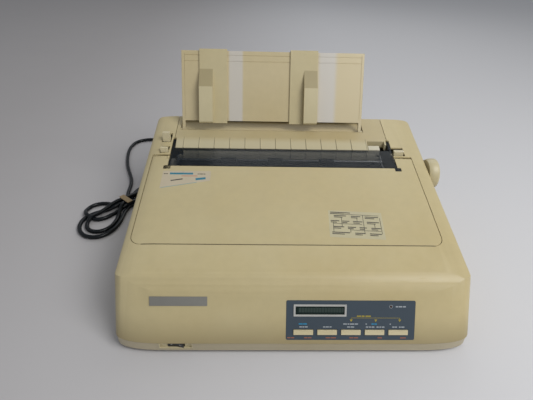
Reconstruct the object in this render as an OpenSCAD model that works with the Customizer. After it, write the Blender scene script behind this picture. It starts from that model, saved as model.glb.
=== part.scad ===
// Dot matrix printer, 80 columns, with a hinged front cover, a smoked window,
// a lift-off rear cover and a folding paper stand.
// X runs to the right, Y to the back and Z up, from the desk under the case's centre.

/* [Case] */
// Width of the case
case_w = 448; // [440:1:470]
// Depth of the case
case_d = 369.2; // [360:0.1:400]
// Height of the front crease above the desk
crease_z = 88; // [84:0.5:100]
// Slope of the top deck in degrees
deck_slope = 12.2; // [11:0.1:13.5]
// Slope of the front face in degrees from the desk
face_angle = 60.4; // [57:0.1:64]
// Radius of the front crease
crease_r = 40; // [20:1:45]
// Wall of the moulded case
wall = 2.5; // [2:0.1:3]
// Height of the joint line between the lower and the upper case
split_z = 19; // [17:0.5:22]
// Step of the lower case inside the upper case's outline
split_step = 0.8; // [0.4:0.1:1.5]
// Width of the slow front corner curve
corner_w = 70; // [50:1:80]
// Depth of the slow front corner curve
corner_d = 20; // [14:1:26]
// Radius of the rear corners
rear_r = 8; // [6:1:20]
// Width of the deck's rounded shoulder
shoulder_w = 60; // [40:1:70]
// Drop of the deck's rounded shoulder
shoulder_h = 8; // [6:1:14]
// Height of the rubber feet
foot_h = 5; // [4:0.5:8]
// Radius of the rubber feet
foot_r = 10; // [7:0.5:12]

/* [Front cover] */
// Distance from the crease to the front cover
cover_setback = 54; // [48:1:64]
// Left margin of the front cover
cover_margin_l = 9.4; // [8:0.1:12]
// Right margin of the front cover
cover_margin_r = 22.5; // [19:0.5:26]
// Radius of the front cover's corners
cover_r = 14.5; // [8:0.5:20]
// Gap around the covers
cover_gap = 0.8; // [0.6:0.1:1.2]
// Depth of the cover's stiffening rim
rim_h = 6; // [4:0.5:8]
// Radius of the cover's hinge barrel
barrel_r = 3.5; // [3.2:0.1:4]
// Radius of the small hinge pins
pin_r = 1.6; // [1.4:0.1:2]
// Radial clearance of pins and shafts that turn
run_gap = 0.06; // [0.03:0.01:0.1]
// Opening of the front cover in degrees
cover_open = 70; // [50:1:75]

/* [Window and rear cover] */
// Depth of the smoked window
window_d = 41; // [36:1:44]
// Thickness of the smoked window
window_t = 2.3; // [2:0.1:3]
// Left margin of the window
window_margin_l = 37; // [35:0.5:40]
// Right margin of the window
window_margin_r = 51; // [49:0.5:54]
// Distance of the platen's axis from the back of the case
platen_back = 109; // [105:1:112]
// Depth of the rear cover from the back to its ribbed lip
rear_cover_d = 81; // [78:1:82]
// Drop of the rear cover's lip under the deck
lip_drop = 3.6; // [2:0.1:5]
// Depth of the rear cover's skirts
skirt_h = 10; // [7:0.5:12]
// Height to which the rear cover lifts off
rear_lift = 45; // [30:1:60]
// Pitch of the paper ribs, one inch
rib_pitch = 25.4; // [24:0.1:26]
// Number of the paper ribs
rib_count = 13; // [9:1:13]
// Width of the slot that takes the paper
slot_w = 7; // [5:0.5:9]

/* [Paper stand] */
// Width of the stand's panel
stand_w = 308; // [290:1:312]
// Height of the stand's panel
stand_h = 115; // [90:1:130]
// Thickness of the stand's panel
stand_t = 4.6; // [4:0.1:6]
// Lean of the stand in degrees from the desk
stand_lean = 65; // [60:1:72]
// Fold of the stand in degrees
stand_fold = 40; // [20:1:42]
// Length of the stand's legs
leg_h = 15; // [13:0.5:18]
// Width of the paper guides
guide_w = 46.5; // [40:0.5:50]
// Thickness of the paper guides
guide_t = 2.4; // [2:0.1:3]
// Height of the guides' raised blocks
block_h = 13; // [8:0.5:16]
// Width of the guides' raised blocks
block_w = 23; // [18:0.5:26]
// Place of the left guide from the panel's left edge
guide_l_in = 30; // [26:1:60]
// Place of the right guide from the panel's right edge
guide_r_in = 79; // [60:1:100]

/* [Control panel] */
// Width of the control panel
panel_w = 160; // [156:1:170]
// Height of the control panel
panel_h = 50; // [48:0.5:54]
// Distance from the crease down to the control panel
panel_drop = 24.3; // [22:0.1:26]
// Place of the control panel's left edge
panel_x = -11; // [-30:1:0]
// Thickness of the control panel's plate
panel_t = 1.2; // [0.8:0.1:1.4]
// Width of a key
key_w = 24.4; // [20:0.1:25]
// Height of a key
key_h = 6.3; // [6:0.1:9]
// Pitch of the keys
key_pitch = 29.5; // [28:0.1:30]
// Stroke of a key
key_travel = 1.2; // [0.8:0.1:1.6]
// Height of a key above the plate
key_proud = 2; // [1.5:0.1:3]
// Width of the display's frame
lcd_w = 65.3; // [60:0.1:68]
// Height of the display's frame
lcd_h = 15; // [14:0.1:16]
// Border of the display's frame
lcd_border = 2.3; // [1.5:0.1:3]

/* [Platen and print works] */
// Radius of the platen
platen_r = 13; // [11:0.5:14]
// Radius of the platen's shaft
shaft_r = 4; // [3:0.5:5]
// Depth of the platen's axis under the deck
platen_drop = 23.5; // [22.5:0.1:25]
// Radius of the platen knob
knob_r = 24.5; // [20:0.5:26]
// Width of the platen knob
knob_w = 16.5; // [12:0.5:20]
// Thickness of the steel side frames
frame_t = 2; // [1.6:0.1:3]
// Radius of the paper bail's shaft
bail_r = 2.5; // [2:0.1:3]
// Radius of the paper bail's rollers
roller_r = 4.2; // [4:0.1:4.6]
// Radius of the carriage rod
rod_r = 6; // [5:0.5:7]
// Module of the feed gears
gear_m = 1; // [0.9:0.1:1]
// Width of the feed gears
gear_w = 5; // [4:0.5:6]
// Width of the ribbon cartridge
ribbon_w = 120; // [100:1:130]
// Travel of the carriage
carriage_travel = 200; // [150:1:204]
// Radius of the belt pulleys
pulley_r = 8; // [7:0.5:9]
// Thickness of the toothed belt
belt_t = 1.4; // [1:0.1:2]

/* [Levers and switch] */
// Width of the lever caps
lever_w = 12; // [10:0.5:13]
// Stroke of the levers in degrees
lever_swing = 12; // [6:0.5:12]
// Width of the power rocker
rocker_w = 20; // [16:0.5:22]
// Height of the power rocker
rocker_h = 9; // [7:0.5:9]
// Tilt of the power rocker in degrees
rocker_tilt = 7; // [5:0.5:8]

/* [Cord] */
// Radius of the power cord
cord_r = 3.6; // [3:0.1:4]
// Height of the cord's bushing above the desk
cord_z = 34; // [30:1:40]

/* [Hidden] */
$fn = 48;
hair = 0.04;        // keeps two views' faces from lying in one plane
reach = 300;        // longer than the case is deep or wide from its centre
fit = 0.3;          // gap between a piece and what it rests in or on
arc_steps = 8;      // facets of a rounded case corner

// The case's main lines.
back_y = case_d / 2;
front_y = -case_d / 2;
crease_y = front_y + (crease_z - split_z) / tan(face_angle);
function deck(y) = crease_z + (y - crease_y) * tan(deck_slope);
function arc(cx, cy, r, a0, a1, n = arc_steps) =
    [for (i = [0:n]) let (a = a0 + (a1 - a0) * i / n) [cx + r * cos(a), cy + r * sin(a)]];
// A quarter of a superellipse, from its side to its top, about a corner's centre.
function slow_corner(cx, cy, a, b, power, n = 9) =
    [for (i = [0:n]) let (t = 90 * i / n)
        [cx + a * pow(cos(t), 2 / power), cy + b * pow(sin(t), 2 / power)]];
function flip_x(pts) = [for (i = [len(pts) - 1:-1:0]) [-pts[i][0], pts[i][1]]];
function flip_y(pts) = [for (i = [len(pts) - 1:-1:0]) [pts[i][0], -pts[i][1]]];

// The case's side view, seen along X, moved inwards by the inset.
crease_turn = face_angle - deck_slope;
crease_mid = [crease_r * (sin(deck_slope) + tan(crease_turn / 2) * cos(deck_slope)),
    crease_r * (-cos(deck_slope) + tan(crease_turn / 2) * sin(deck_slope))];
module side_view(inset) {
    c = [crease_y + crease_mid[0], crease_z + crease_mid[1]];
    polygon(concat(
        [[back_y + 5, deck(back_y + 5) - inset / cos(deck_slope)], [back_y + 5, -5],
            [front_y + inset, -5], [front_y + inset, split_z - inset / 2]],
        arc(c[0], c[1], crease_r - inset, 90 + face_angle, 90 + deck_slope)));
}
// The case's plan, seen from above; with slow corners it passes the side view's front by a hair.
module plan_view(inset, slow_front) {
    w = case_w / 2;
    a = corner_w - inset;
    b = corner_d - inset;
    front = slow_front ? flip_y(slow_corner(w - corner_w, back_y - corner_d + hair, a, b, 2.6))
        : [[w - inset, front_y - 10]];
    r = max(rear_r - inset, 0.6);
    rear = arc(w - inset - r, back_y - inset - r, r, 0, 90);
    polygon(concat(front, rear, flip_x(rear), flip_x(front)));
}
// The deck's cross-section, seen along its slope, with the deck a hair under its top.
module deck_view(inset) {
    w = case_w / 2 + hair;
    b = max(shoulder_h - inset, 0.6);
    top = slow_corner(w - shoulder_w, hair - inset - b, shoulder_w - inset, b, 3);
    polygon(concat([[w - inset, -reach]], top, flip_x(top), [[-w + inset, -reach]]));
}
// The front face's cross-section, seen down its slope: the slow corners follow the slope.
module face_view(inset) {
    w = case_w / 2 + 2 * hair;
    drop = corner_d * sin(face_angle);
    top = slow_corner(w - corner_w, hair - drop, corner_w - inset, drop - inset, 2.6);
    polygon(concat([[w - inset, -2 * reach]], top, flip_x(top), [[-w + inset, -2 * reach]]));
}
module on_deck() { translate([0, crease_y, crease_z]) rotate([deck_slope, 0, 0]) children(); }
module on_face() { translate([0, crease_y, crease_z]) rotate([face_angle, 0, 0]) children(); }
module along_x(x0, x1) { translate([x0, 0, 0]) rotate([90, 0, 90]) linear_extrude(x1 - x0) children(); }
module box(x0, x1, y0, y1, z0, z1) { translate([x0, y0, z0]) cube([x1 - x0, y1 - y0, z1 - z0]); }
module rod(x0, x1, y, z, r) { translate([x0, y, z]) rotate([0, 90, 0]) cylinder(h = x1 - x0, r = r); }
module case_solid(inset) {
    intersection() {
        along_x(-reach, reach) side_view(inset);
        linear_extrude(reach) plan_view(inset, false);
        on_deck() translate([0, 2 * reach, 0]) rotate([90, 0, 0]) linear_extrude(3 * reach) deck_view(inset);
        on_face() translate([0, 2 * reach, 0]) rotate([90, 0, 0]) linear_extrude(4 * reach) face_view(inset);
    }
}
module base_solid(inset) {
    intersection() {
        along_x(-reach, reach) side_view(inset);
        linear_extrude(reach) plan_view(inset, true);
    }
}
module shell(inset, thick) {
    difference() {
        case_solid(inset);
        case_solid(inset + thick);
    }
}
module slab(x0, x1, y0, y1, r = 0) {
    linear_extrude(reach) if (r > 0) polygon(concat(
        arc(x0 + r, y0 + r, r, 180, 270, 5), arc(x1 - r, y0 + r, r, 270, 360, 5),
        [[x1, y1], [x0, y1]]));
    else translate([x0, y0]) square([x1 - x0, y1 - y0]);
}

// The front cover, the window and the rear cover, as seen from above.
platen_y = back_y - platen_back;
platen_z = deck(platen_y) - platen_drop;
cover_x0 = -case_w / 2 + cover_margin_l;
cover_x1 = case_w / 2 - cover_margin_r;
cover_y0 = crease_y + cover_setback;
cover_y1 = platen_y + 7.5;
window_x0 = -case_w / 2 + window_margin_l;
window_x1 = case_w / 2 - window_margin_r;
window_y1 = platen_y + 23;
window_y0 = window_y1 - window_d;
rear_x0 = window_x0 + 1.5;
rear_x1 = window_x1 - 2.5;
rear_y0 = back_y - rear_cover_d;
rear_step_y = rear_y0 + 22;   // where the ribbed lip meets the deck
notch_x = rear_x1 - 34;       // the lip's right end
hinge_y = cover_y1 - barrel_r;
hinge_z = deck(hinge_y) - barrel_r / cos(deck_slope) - 0.7;
window_hinge_y = rear_step_y - 5;
window_hinge_z = deck(window_hinge_y) - 4.5;

// The paper stand and its hinge.
stand_x0 = rear_x0 + 9;
stand_x1 = stand_x0 + stand_w;
stand_y = back_y - 32;
stand_z = deck(stand_y) - 3.4;
trough_d = 7;
trough_y = stand_y - 6;
slot_y = stand_y - 2;

// The steel side frames and the works between them.
frame_x0 = window_x0 + 8;      // outer side of the left frame
frame_x1 = window_x1 - 14;     // outer side of the right frame
platen_x0 = frame_x0 + 12;
platen_x1 = frame_x1 - 10;
bail_a = 68;
bail_len = platen_r + roller_r + fit;
bail_y = platen_y + bail_len * cos(bail_a);
bail_z = platen_z + bail_len * sin(bail_a);
bail_pivot = [bail_y + 13, bail_z - 28];
floor_z = foot_h + wall;       // the inner floor of the lower case
rod_y = platen_y - 42;
rod_z = platen_z - 28;
gap_pivot = [platen_y + 22, platen_z - 30];
release_pivot = [platen_y + 60, platen_z - 12];

module lower_case() {
    color([0.62, 0.58, 0.47]) {
        difference() {
            intersection() {
                base_solid(split_step);
                box(-reach, reach, -reach, reach, foot_h, split_z);
            }
            intersection() {
                base_solid(split_step + wall);
                box(-reach, reach, -reach, reach, foot_h + wall, split_z + 1);
            }
            switch_hole();
        }
    }
}

switch_x = -case_w / 2 + 77;   // centre of the power switch's frame
switch_w = 41.5;
switch_z0 = foot_h + 3.2;
switch_z1 = split_z - 0.5;
switch_y = front_y + split_step;
module switch_hole() {
    box(switch_x - switch_w / 2, switch_x + switch_w / 2, switch_y - 1, switch_y + wall + 1,
        switch_z0, switch_z1);
}
rocker_y = switch_y + 4.5;
rocker_mid = (switch_z0 + switch_z1) / 2;
module switch_frame() {
    color([0.8, 0.77, 0.66]) difference() {
        union() {
            box(switch_x - switch_w / 2 + 0.1, switch_x + switch_w / 2 - 0.1, switch_y + 0.1, switch_y + 10,
                switch_z0 + 0.1, switch_z1 - 0.1);
            box(switch_x - switch_w / 2 - 2, switch_x + switch_w / 2 + 2, switch_y + wall + 0.2, switch_y + 10,
                foot_h + wall + 0.2, switch_z1 - 1.4);
        }
        box(switch_x - switch_w / 2 + 1.4, switch_x + switch_w / 2 - 1.4, switch_y - 1, switch_y + 2.4,
            switch_z0 + 0.9, switch_z1 - 0.9);
        box(switch_x - rocker_w / 2 - 0.8, switch_x + rocker_w / 2 + 0.8, switch_y, switch_y + 8.6,
            switch_z0 + 0.9, switch_z1 - 0.9);
        translate([switch_x, rocker_y, foot_h]) cylinder(h = split_z, r = 1 + run_gap);
    }
}
module power_rocker() {
    color([0.08, 0.08, 0.09]) translate([switch_x, rocker_y, 0]) rotate([0, 0, -rocker_tilt]) {
        h0 = rocker_mid - min(rocker_h, switch_z1 - switch_z0 - 2.4) / 2;
        h1 = 2 * rocker_mid - h0;
        translate([0, 0, h0]) linear_extrude(h1 - h0) difference() {
            union() {
                translate([-rocker_w / 2, -3.4]) square([rocker_w, 3.4]);
                circle(r = 3);
            }
            translate([0, -3.4 - 34]) circle(r = 35, $fn = 120);
        }
        translate([0, 0, switch_z0 + 0.2]) cylinder(h = switch_z1 - switch_z0 - 0.4, r = 1);
    }
}

module feet() {
    color([0.1, 0.1, 0.1]) for (x = [-case_w / 2 + 34, case_w / 2 - 34], y = [front_y + 34, back_y - 26])
        translate([x, y, 0]) union() {
            cylinder(h = foot_h, r = foot_r - 1);
            translate([0, 0, 1]) cylinder(h = foot_h - 1, r = foot_r);
        }
}

// The holes that the levers and the knob's shaft pass through.
lever_slot_x0 = -case_w / 2 + 18.5;
lever_slot_x1 = lever_slot_x0 + lever_w + 3;
lever_x = (lever_slot_x0 + lever_slot_x1) / 2;
gap_cap_y = platen_y + 17;
release_cap_y = platen_y + 44;
bail_cap_y = platen_y + 16;
bail_cap_w = lever_w + 1.4;
bail_cap_x = window_x1 + 3.6 + bail_cap_w / 2;
lever_stroke = 11;
gap_stroke = 6;
module lever_slots() {
    box(lever_slot_x0, lever_slot_x1, gap_cap_y - 5, gap_cap_y + 5 + gap_stroke, 0, reach);
    box(lever_slot_x0, lever_slot_x1, release_cap_y - 5.5, release_cap_y + 6 + lever_stroke, 0, reach);
    box(window_x1, bail_cap_x + bail_cap_w / 2 + 3, bail_cap_y - 5.5, bail_cap_y + 4 + lever_stroke, 0, reach);
}
ear_t = 3;
module upper_case() {
    color([0.78, 0.73, 0.57]) difference() {
        union() {
            difference() {
                intersection() {
                    shell(0, wall);
                    box(-reach, reach, -reach, reach, split_z, reach);
                }
                cover_openings();
                lever_slots();
                rod(case_w / 2 - wall - 1, case_w / 2 + 1, platen_y, platen_z, shaft_r + 3);
                panel_recess();
                cord_hole();
                port_hole();
            }
            cover_ledge();
            hinge_ears();
            board_posts();
        }
        for (x = [ear_l, ear_r]) rod(x - 1, x + ear_t + 1, hinge_y, hinge_z, pin_r + run_gap);
    }
}
module cover_openings() {
    translate([0, 0, split_z + 25]) {
        slab(cover_x0 - cover_gap, cover_x1 + cover_gap, cover_y0 - cover_gap,
            cover_y1 + cover_gap + 0.4, cover_r + cover_gap);
        slab(window_x0 - cover_gap, window_x1 + cover_gap, cover_y1, rear_step_y);
    }
    translate([0, 0, deck(back_y) - skirt_h - 5])
        slab(rear_x0 - cover_gap, rear_x1 + cover_gap, back_y - 60, back_y + 10);
    translate([0, 0, split_z + 60])
        slab(rear_x0 - cover_gap, rear_x1 + cover_gap, rear_step_y - 1, back_y - wall - 4);
}
// A step under the front cover's edge, which the cover closes on.
ledge_w = 2.2;
module cover_ledge() {
    difference() {
        intersection() {
            shell(wall + 0.4, 2);
            translate([0, 0, split_z + 25]) slab(cover_x0 - 6, cover_x1 + 6, cover_y0 - 6, hinge_y - 12);
        }
        translate([0, 0, split_z]) slab(cover_x0 + ledge_w, cover_x1 - ledge_w, cover_y0 + ledge_w, back_y,
            cover_r - ledge_w);
    }
    intersection() {
        shell(wall - 0.2, 2.6);
        translate([0, 0, split_z + 25]) difference() {
            slab(cover_x0 - 6, cover_x1 + 6, cover_y0 - 6, hinge_y - 12);
            translate([0, 0, -1]) slab(cover_x0 - cover_gap, cover_x1 + cover_gap, cover_y0 - cover_gap, back_y,
                cover_r + cover_gap);
        }
    }
}
// Ears with the front cover's hinge holes: in a corner notch at the left, under the deck at the right.
ear_l = window_x0 - cover_gap - 0.4 - ear_t;
ear_r = cover_x1 + fit;
module hinge_ears() {
    for (x = [ear_l, ear_r]) intersection() {
        case_solid(x < 0 ? 0.1 : wall - 0.2);
        along_x(x, x + ear_t) union() {
            translate([hinge_y, hinge_z]) circle(r = 3.4);
            translate([hinge_y, hinge_z - 3.4]) square([14, x < 0 ? 3.8 : 9]);
            translate([cover_y1 + cover_gap + 0.6, hinge_z - 3.4]) square([14 + hinge_y - cover_y1 - 1.4, 20]);
        }
    }
}

module front_cover() {
    color([0.78, 0.73, 0.57]) difference() {
        union() {
            intersection() {
                shell(0, wall);
                translate([0, 0, split_z + 25]) slab(cover_x0, cover_x1, cover_y0, hinge_y, cover_r);
            }
            cover_rim();
            barrels();
        }
        translate([0, 0, split_z]) slab(window_x0 - cover_gap, window_x1 + cover_gap,
            window_y0 - cover_gap, back_y);
        tab_notches(0.5);
        box(ear_l - 0.4, window_x0, hinge_y - 6, back_y, 0, reach);
    }
    rod(ear_l - 1.4, ear_l + ear_t - 0.3, hinge_y, hinge_z, pin_r);
    rod(cover_x1 - 1, ear_r + ear_t - 0.3, hinge_y, hinge_z, pin_r);
}
rim_in = 5;
module cover_rim() {
    intersection() {
        shell(wall - 0.1, rim_h + 0.1);
        translate([0, 0, split_z + 25]) difference() {
            slab(cover_x0 + rim_in, cover_x1 - rim_in, cover_y0 + rim_in, hinge_y - 10, cover_r - rim_in);
            translate([0, 0, -1]) slab(cover_x0 + rim_in + 2, cover_x1 - rim_in - 2, cover_y0 + rim_in + 2,
                window_y0 - 4, cover_r - rim_in - 2);
            translate([0, 0, -1]) slab(cover_x0 + rim_in + 2, window_x0 - 4, cover_y0 + 30, back_y);
            translate([0, 0, -1]) slab(window_x1 + 4, cover_x1 - rim_in - 2, cover_y0 + 30, back_y);
            for (x = tab_x) translate([0, 0, -1]) slab(x - 2, x + tab_w + 2, window_y0 - tab_d - 4, window_y0 + 9);
        }
    }
}
module barrels() {
    intersection() {
        case_solid(0.2);
        union() {
            rod(cover_x0, window_x0, hinge_y, hinge_z, barrel_r);
            rod(window_x1 + cover_gap, cover_x1, hinge_y, hinge_z, barrel_r);
        }
    }
}
// Finger tabs at the window's front corners sit in notches of the front cover.
tab_w = 9;
tab_d = 7;
tab_x = [window_x0 - tab_w * 0.6, window_x1 - tab_w * 0.4];
module tab_notches(gap) {
    for (x = tab_x)
        translate([0, 0, split_z]) slab(x - gap, x + tab_w + gap, window_y0 - tab_d - gap, window_y0 + gap);
}

module smoked_window() {
    color([0.16, 0.18, 0.2, 0.75]) {
        intersection() {
            shell(0, window_t);
            translate([0, 0, split_z + 25]) union() {
                slab(window_x0, window_x1, window_y0, window_y1);
                tab_notches(0);
            }
        }
        for (x = [window_x0, window_x1 - arm_w]) {
            intersection() {
                case_solid(0);
                along_x(x, x + arm_w) polygon([
                    [window_y0 + 2, deck(window_y0) - 3.2], [window_y0 + 2, deck(window_y0) + 5],
                    [window_hinge_y - 1, deck(window_hinge_y) + 5],
                    [window_hinge_y - 1, window_hinge_z - 2], [window_y1, deck(window_y1) - 3.2]]);
            }
            rod(x, x + arm_w, window_hinge_y, window_hinge_z, 4);
        }
        rod(window_x0 + 1, window_x0 + arm_w + fit + 1.7, window_hinge_y, window_hinge_z, pin_r);
        rod(window_x1 - arm_w - fit - 2.7, window_x1 - 1, window_hinge_y, window_hinge_z, pin_r);
    }
}
arm_w = 4;

// The rear cover: a sloped lid with a ribbed lip, skirts, a paper slot and a trough for the stand.
module rear_cover() {
    rim = 2;
    lip_x0 = window_x0 + arm_w + fit;
    ear_x1 = window_x1 - arm_w - fit;
    color([0.78, 0.73, 0.57]) difference() {
        union() {
            difference() {
                along_x(rear_x0, rear_x1) rear_profile(0);
                along_x(rear_x0 + rim, rear_x1 - rim) rear_profile(wall);
                box(notch_x, rear_x1 + 1, rear_y0 - 5, rear_step_y - 2.5, 0, reach);
                box(rear_x0 - 1, lip_x0, rear_y0 - 5, rear_step_y, 0, reach);
                box(ear_x1, rear_x1 + 1, rear_y0 - 5, rear_step_y, 0, reach);
            }
            intersection() {
                along_x(rear_x0, rear_x1) rear_profile(0);
                union() {
                    box(lip_x0, lip_x0 + rim, rear_y0 - 5, rear_step_y + 1, 0, reach);
                    box(rear_x0, lip_x0 + rim, rear_step_y, rear_step_y + rim, 0, reach);
                    box(notch_x - 2, notch_x, rear_y0 - 5, rear_step_y - 0.5, 0, reach);
                    box(notch_x - 2, ear_x1, rear_step_y - 2.5, rear_step_y - 0.5, 0, reach);
                    box(ear_x1 - 2, rear_x1, rear_step_y, rear_step_y + rim, 0, reach);
                    box(ear_x1 - 3, ear_x1, window_hinge_y - 5, rear_step_y - 1, 0, reach);
                }
            }
            stand_trough(wall);
            lip_ribs();
        }
        stand_trough(0);
        box(stand_x0 + 8, stand_x1 - 8, slot_y, slot_y + slot_w, 0, reach);
        rod(stand_x0 - 8, stand_x0 - 0.5, stand_y, stand_z, 2 + run_gap);
        rod(stand_x1 + 0.5, stand_x1 + 8, stand_y, stand_z, 2 + run_gap);
        rod(lip_x0 - 1, lip_x0 + rim + 1, window_hinge_y, window_hinge_z, pin_r + run_gap);
        rod(ear_x1 - 4, ear_x1 + 1, window_hinge_y, window_hinge_z, pin_r + run_gap);
    }
}
module rear_profile(inset) {
    top = inset / cos(deck_slope);
    polygon([
        [rear_y0 + inset * 0.4, deck(rear_y0) - lip_drop - top], [rear_step_y, deck(rear_step_y) - top],
        [back_y - inset, deck(back_y) - top], [back_y - inset, deck(back_y) - skirt_h - 5 - inset],
        [back_y - 5, deck(back_y) - skirt_h - 5 - inset],
        [rear_y0 + 8, deck(rear_y0) - skirt_h - inset],
        [rear_y0 + inset * 0.4, deck(rear_y0) - lip_drop - wall - inset]]);
}
module stand_trough(t) {
    intersection() {
        on_deck() translate([0, 0, -trough_d - t])
            box(stand_x0 - 3 - t, stand_x1 + 3 + t, (trough_y - crease_y) / cos(deck_slope) - t,
                (back_y + 20 - crease_y) / cos(deck_slope), 0, t > 0 ? trough_d : 40);
        if (t > 0) along_x(rear_x0, rear_x1) rear_profile(0.1);
        else box(-reach, reach, -reach, reach, 0, reach);
    }
}
function rib_x(i) = stand_x0 + 7 + i * rib_pitch;
module lip_ribs() {
    for (i = [0:rib_count - 1]) if (rib_x(i) < notch_x - 2)
        along_x(rib_x(i) - 0.6, rib_x(i) + 0.6) polygon([
            [rear_y0, deck(rear_y0) - lip_drop - 0.5], [rear_y0, deck(rear_y0) - lip_drop + 0.8],
            [rear_step_y - 3, deck(rear_step_y - 3) + 0.4], [rear_step_y - 1, deck(rear_step_y - 1) - 0.5]]);
}

// The stand leans back on two legs; its own frame has X along the printer and Z up the panel.
module on_stand() { translate([0, stand_y, stand_z]) rotate([stand_lean - 90, 0, 0]) children(); }
stand_top = leg_h + stand_h;
module paper_stand() {
    color([0.77, 0.72, 0.56]) on_stand() {
        difference() {
            box(stand_x0, stand_x1, -stand_t / 2, stand_t / 2, leg_h, stand_top);
            for (z = [stand_top - 7.6, stand_top - 17.2])
                box(stand_x0 + 5, stand_x1 - 5, -stand_t, -stand_t / 2 + 0.5, z, z + 0.8);
            for (x = [stand_x0 + 4.2, stand_x1 - 5])
                box(x, x + 0.8, -stand_t, -stand_t / 2 + 0.6, leg_h + 3, stand_top - 4);
            box(stand_x0 + 5, stand_x1 - 5, stand_t / 2 - 0.8, stand_t, leg_h + 5, stand_top - 5);
        }
        for (x = [stand_x0, stand_x1 - 5]) {
            box(x, x + 5, -stand_t / 2, stand_t / 2, 0, leg_h + 1);
            rod(x, x + 5, 0, 0, stand_t / 2);
        }
        rod(stand_x0 - 4.5, stand_x0 + 1, 0, 0, 2);
        rod(stand_x1 - 1, stand_x1 + 4.5, 0, 0, 2);
    }
}
// A guide plate hooked over the panel's top and bottom edges, with a raised block on its outer side.
module paper_guide(x0, side) {
    face = -stand_t / 2 - fit;
    block_x = side > 0 ? x0 + guide_w - block_w : x0;
    on_stand() {
        box(x0, x0 + guide_w, face - guide_t, face, leg_h - 4, stand_top + 2.6);
        box(x0, x0 + guide_w, face, stand_t / 2 + fit + 1.6, stand_top + fit, stand_top + 2.6);
        box(x0, x0 + guide_w, stand_t / 2 + fit, stand_t / 2 + fit + 1.6, stand_top - 6, stand_top + 2.6);
        box(x0, x0 + guide_w, face, stand_t / 2 + fit + 1.2, leg_h - 4, leg_h - fit);
        translate([block_x, 0, 0]) along_x(0, block_w) polygon([
            [face - 1, leg_h - 4], [face - 1, leg_h + 84], [face - guide_t, leg_h + 84],
            [face - block_h, leg_h + 56], [face - block_h, leg_h - 2], [face - block_h + 2, leg_h - 4]]);
    }
}
guide_l_x = stand_x0 + guide_l_in;
guide_r_x = stand_x1 - guide_r_in - guide_w;
module guide_left() { color([0.79, 0.75, 0.62]) paper_guide(guide_l_x, -1); }
module guide_right() { color([0.79, 0.75, 0.62]) paper_guide(guide_r_x, 1); }

// The control panel's plate lies in a recess of the front face.
panel_y1 = -panel_drop;
panel_y0 = panel_y1 - panel_h;
lcd_x = panel_x + 9;
lcd_y = panel_y1 - 4.9 - lcd_h;
key_y = panel_y0 + 6.7;
function key_x(i) = panel_x + 9.2 + i * key_pitch;
key_gap = 0.4;
module panel_outline(gap) {
    r = 2;
    translate([panel_x - gap, panel_y0 - gap]) polygon(concat(
        arc(r, r, r, 180, 270, 3), arc(panel_w + 2 * gap - r, r, r, 270, 360, 3),
        arc(panel_w + 2 * gap - r, panel_h + 2 * gap - r, r, 0, 90, 3),
        arc(r, panel_h + 2 * gap - r, r, 90, 180, 3)));
}
module panel_holes(gap) {
    for (i = [0:4]) translate([key_x(i) - gap, key_y - gap]) square([key_w + 2 * gap, key_h + 2 * gap]);
    translate([lcd_x + lcd_border - gap, lcd_y + lcd_border - gap])
        square([lcd_w - 2 * lcd_border + 2 * gap, lcd_h - 2 * lcd_border + 2 * gap]);
    translate([panel_x + panel_w - 30.4, panel_y1 - 7.5]) circle(r = 1.5 + gap, $fn = 24);
}
module panel_recess() {
    on_face() {
        translate([0, 0, -panel_t]) linear_extrude(10) panel_outline(0.2);
        translate([0, 0, -10]) linear_extrude(12) panel_holes(key_gap);
    }
}
module control_panel() {
    color([0.25, 0.29, 0.34]) on_face() translate([0, 0, -panel_t]) linear_extrude(panel_t + 0.2) difference() {
        panel_outline(0);
        panel_holes(key_gap);
    }
}
module display_frame() {
    color([0.66, 0.67, 0.66]) on_face() translate([0, 0, 0.2]) linear_extrude(1) difference() {
        translate([lcd_x, lcd_y]) square([lcd_w, lcd_h]);
        translate([lcd_x + lcd_border, lcd_y + lcd_border])
            square([lcd_w - 2 * lcd_border, lcd_h - 2 * lcd_border]);
    }
}
module display_glass() {
    color([0.12, 0.18, 0.16]) on_face() translate([lcd_x + lcd_border, lcd_y + lcd_border, -6])
        cube([lcd_w - 2 * lcd_border, lcd_h - 2 * lcd_border, 5.4]);
}
stem_z = -wall - fit - 5;
module key(i) {
    color([0.83, 0.8, 0.68]) on_face() {
        difference() {
            translate([key_x(i), key_y, -wall - fit - 1]) cube([key_w, key_h, wall + fit + 1 + 0.2 + key_proud]);
            translate([key_x(i) - 1, key_y + key_h / 2, 26 + key_proud - 0.5]) rotate([0, 90, 0])
                cylinder(h = key_w + 2, r = 26, $fn = 160);
        }
        translate([key_x(i) - 1.6, key_y - 1.4, -wall - fit - 1]) cube([key_w + 3.2, key_h + 2.8, 1]);
        translate([key_x(i) + key_w / 2, key_y + key_h / 2, stem_z]) cylinder(h = 5, r = 2);
    }
}
board_z = stem_z - key_travel - fit - 4;
module key_board() {
    color([0.1, 0.33, 0.2]) on_face() {
        difference() {
            translate([panel_x - 9, panel_y0 - 3, board_z - 1.6]) cube([panel_w + 18, panel_h + 6, 1.6]);
            for (x = [panel_x - 5, panel_x + panel_w + 5], y = [panel_y0 + 1, panel_y1 - 1])
                translate([x, y, board_z - 3]) cylinder(h = 6, r = 1.6);
        }
        for (i = [0:4]) translate([key_x(i) + key_w / 2 - 3, key_y + key_h / 2 - 3, board_z]) cube([6, 6, 4]);
        translate([lcd_x, lcd_y, board_z]) cube([lcd_w, lcd_h, -board_z - 6]);
        translate([panel_x + panel_w - 30.4, panel_y1 - 7.5, board_z]) cylinder(h = -board_z - 0.4, r = 1.4);
    }
}
module board_posts() {
    on_face() for (x = [panel_x - 5, panel_x + panel_w + 5], y = [panel_y0 + 1, panel_y1 - 1])
        translate([x, y, board_z]) cylinder(h = -board_z - wall / 2, r = 3);
}
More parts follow.
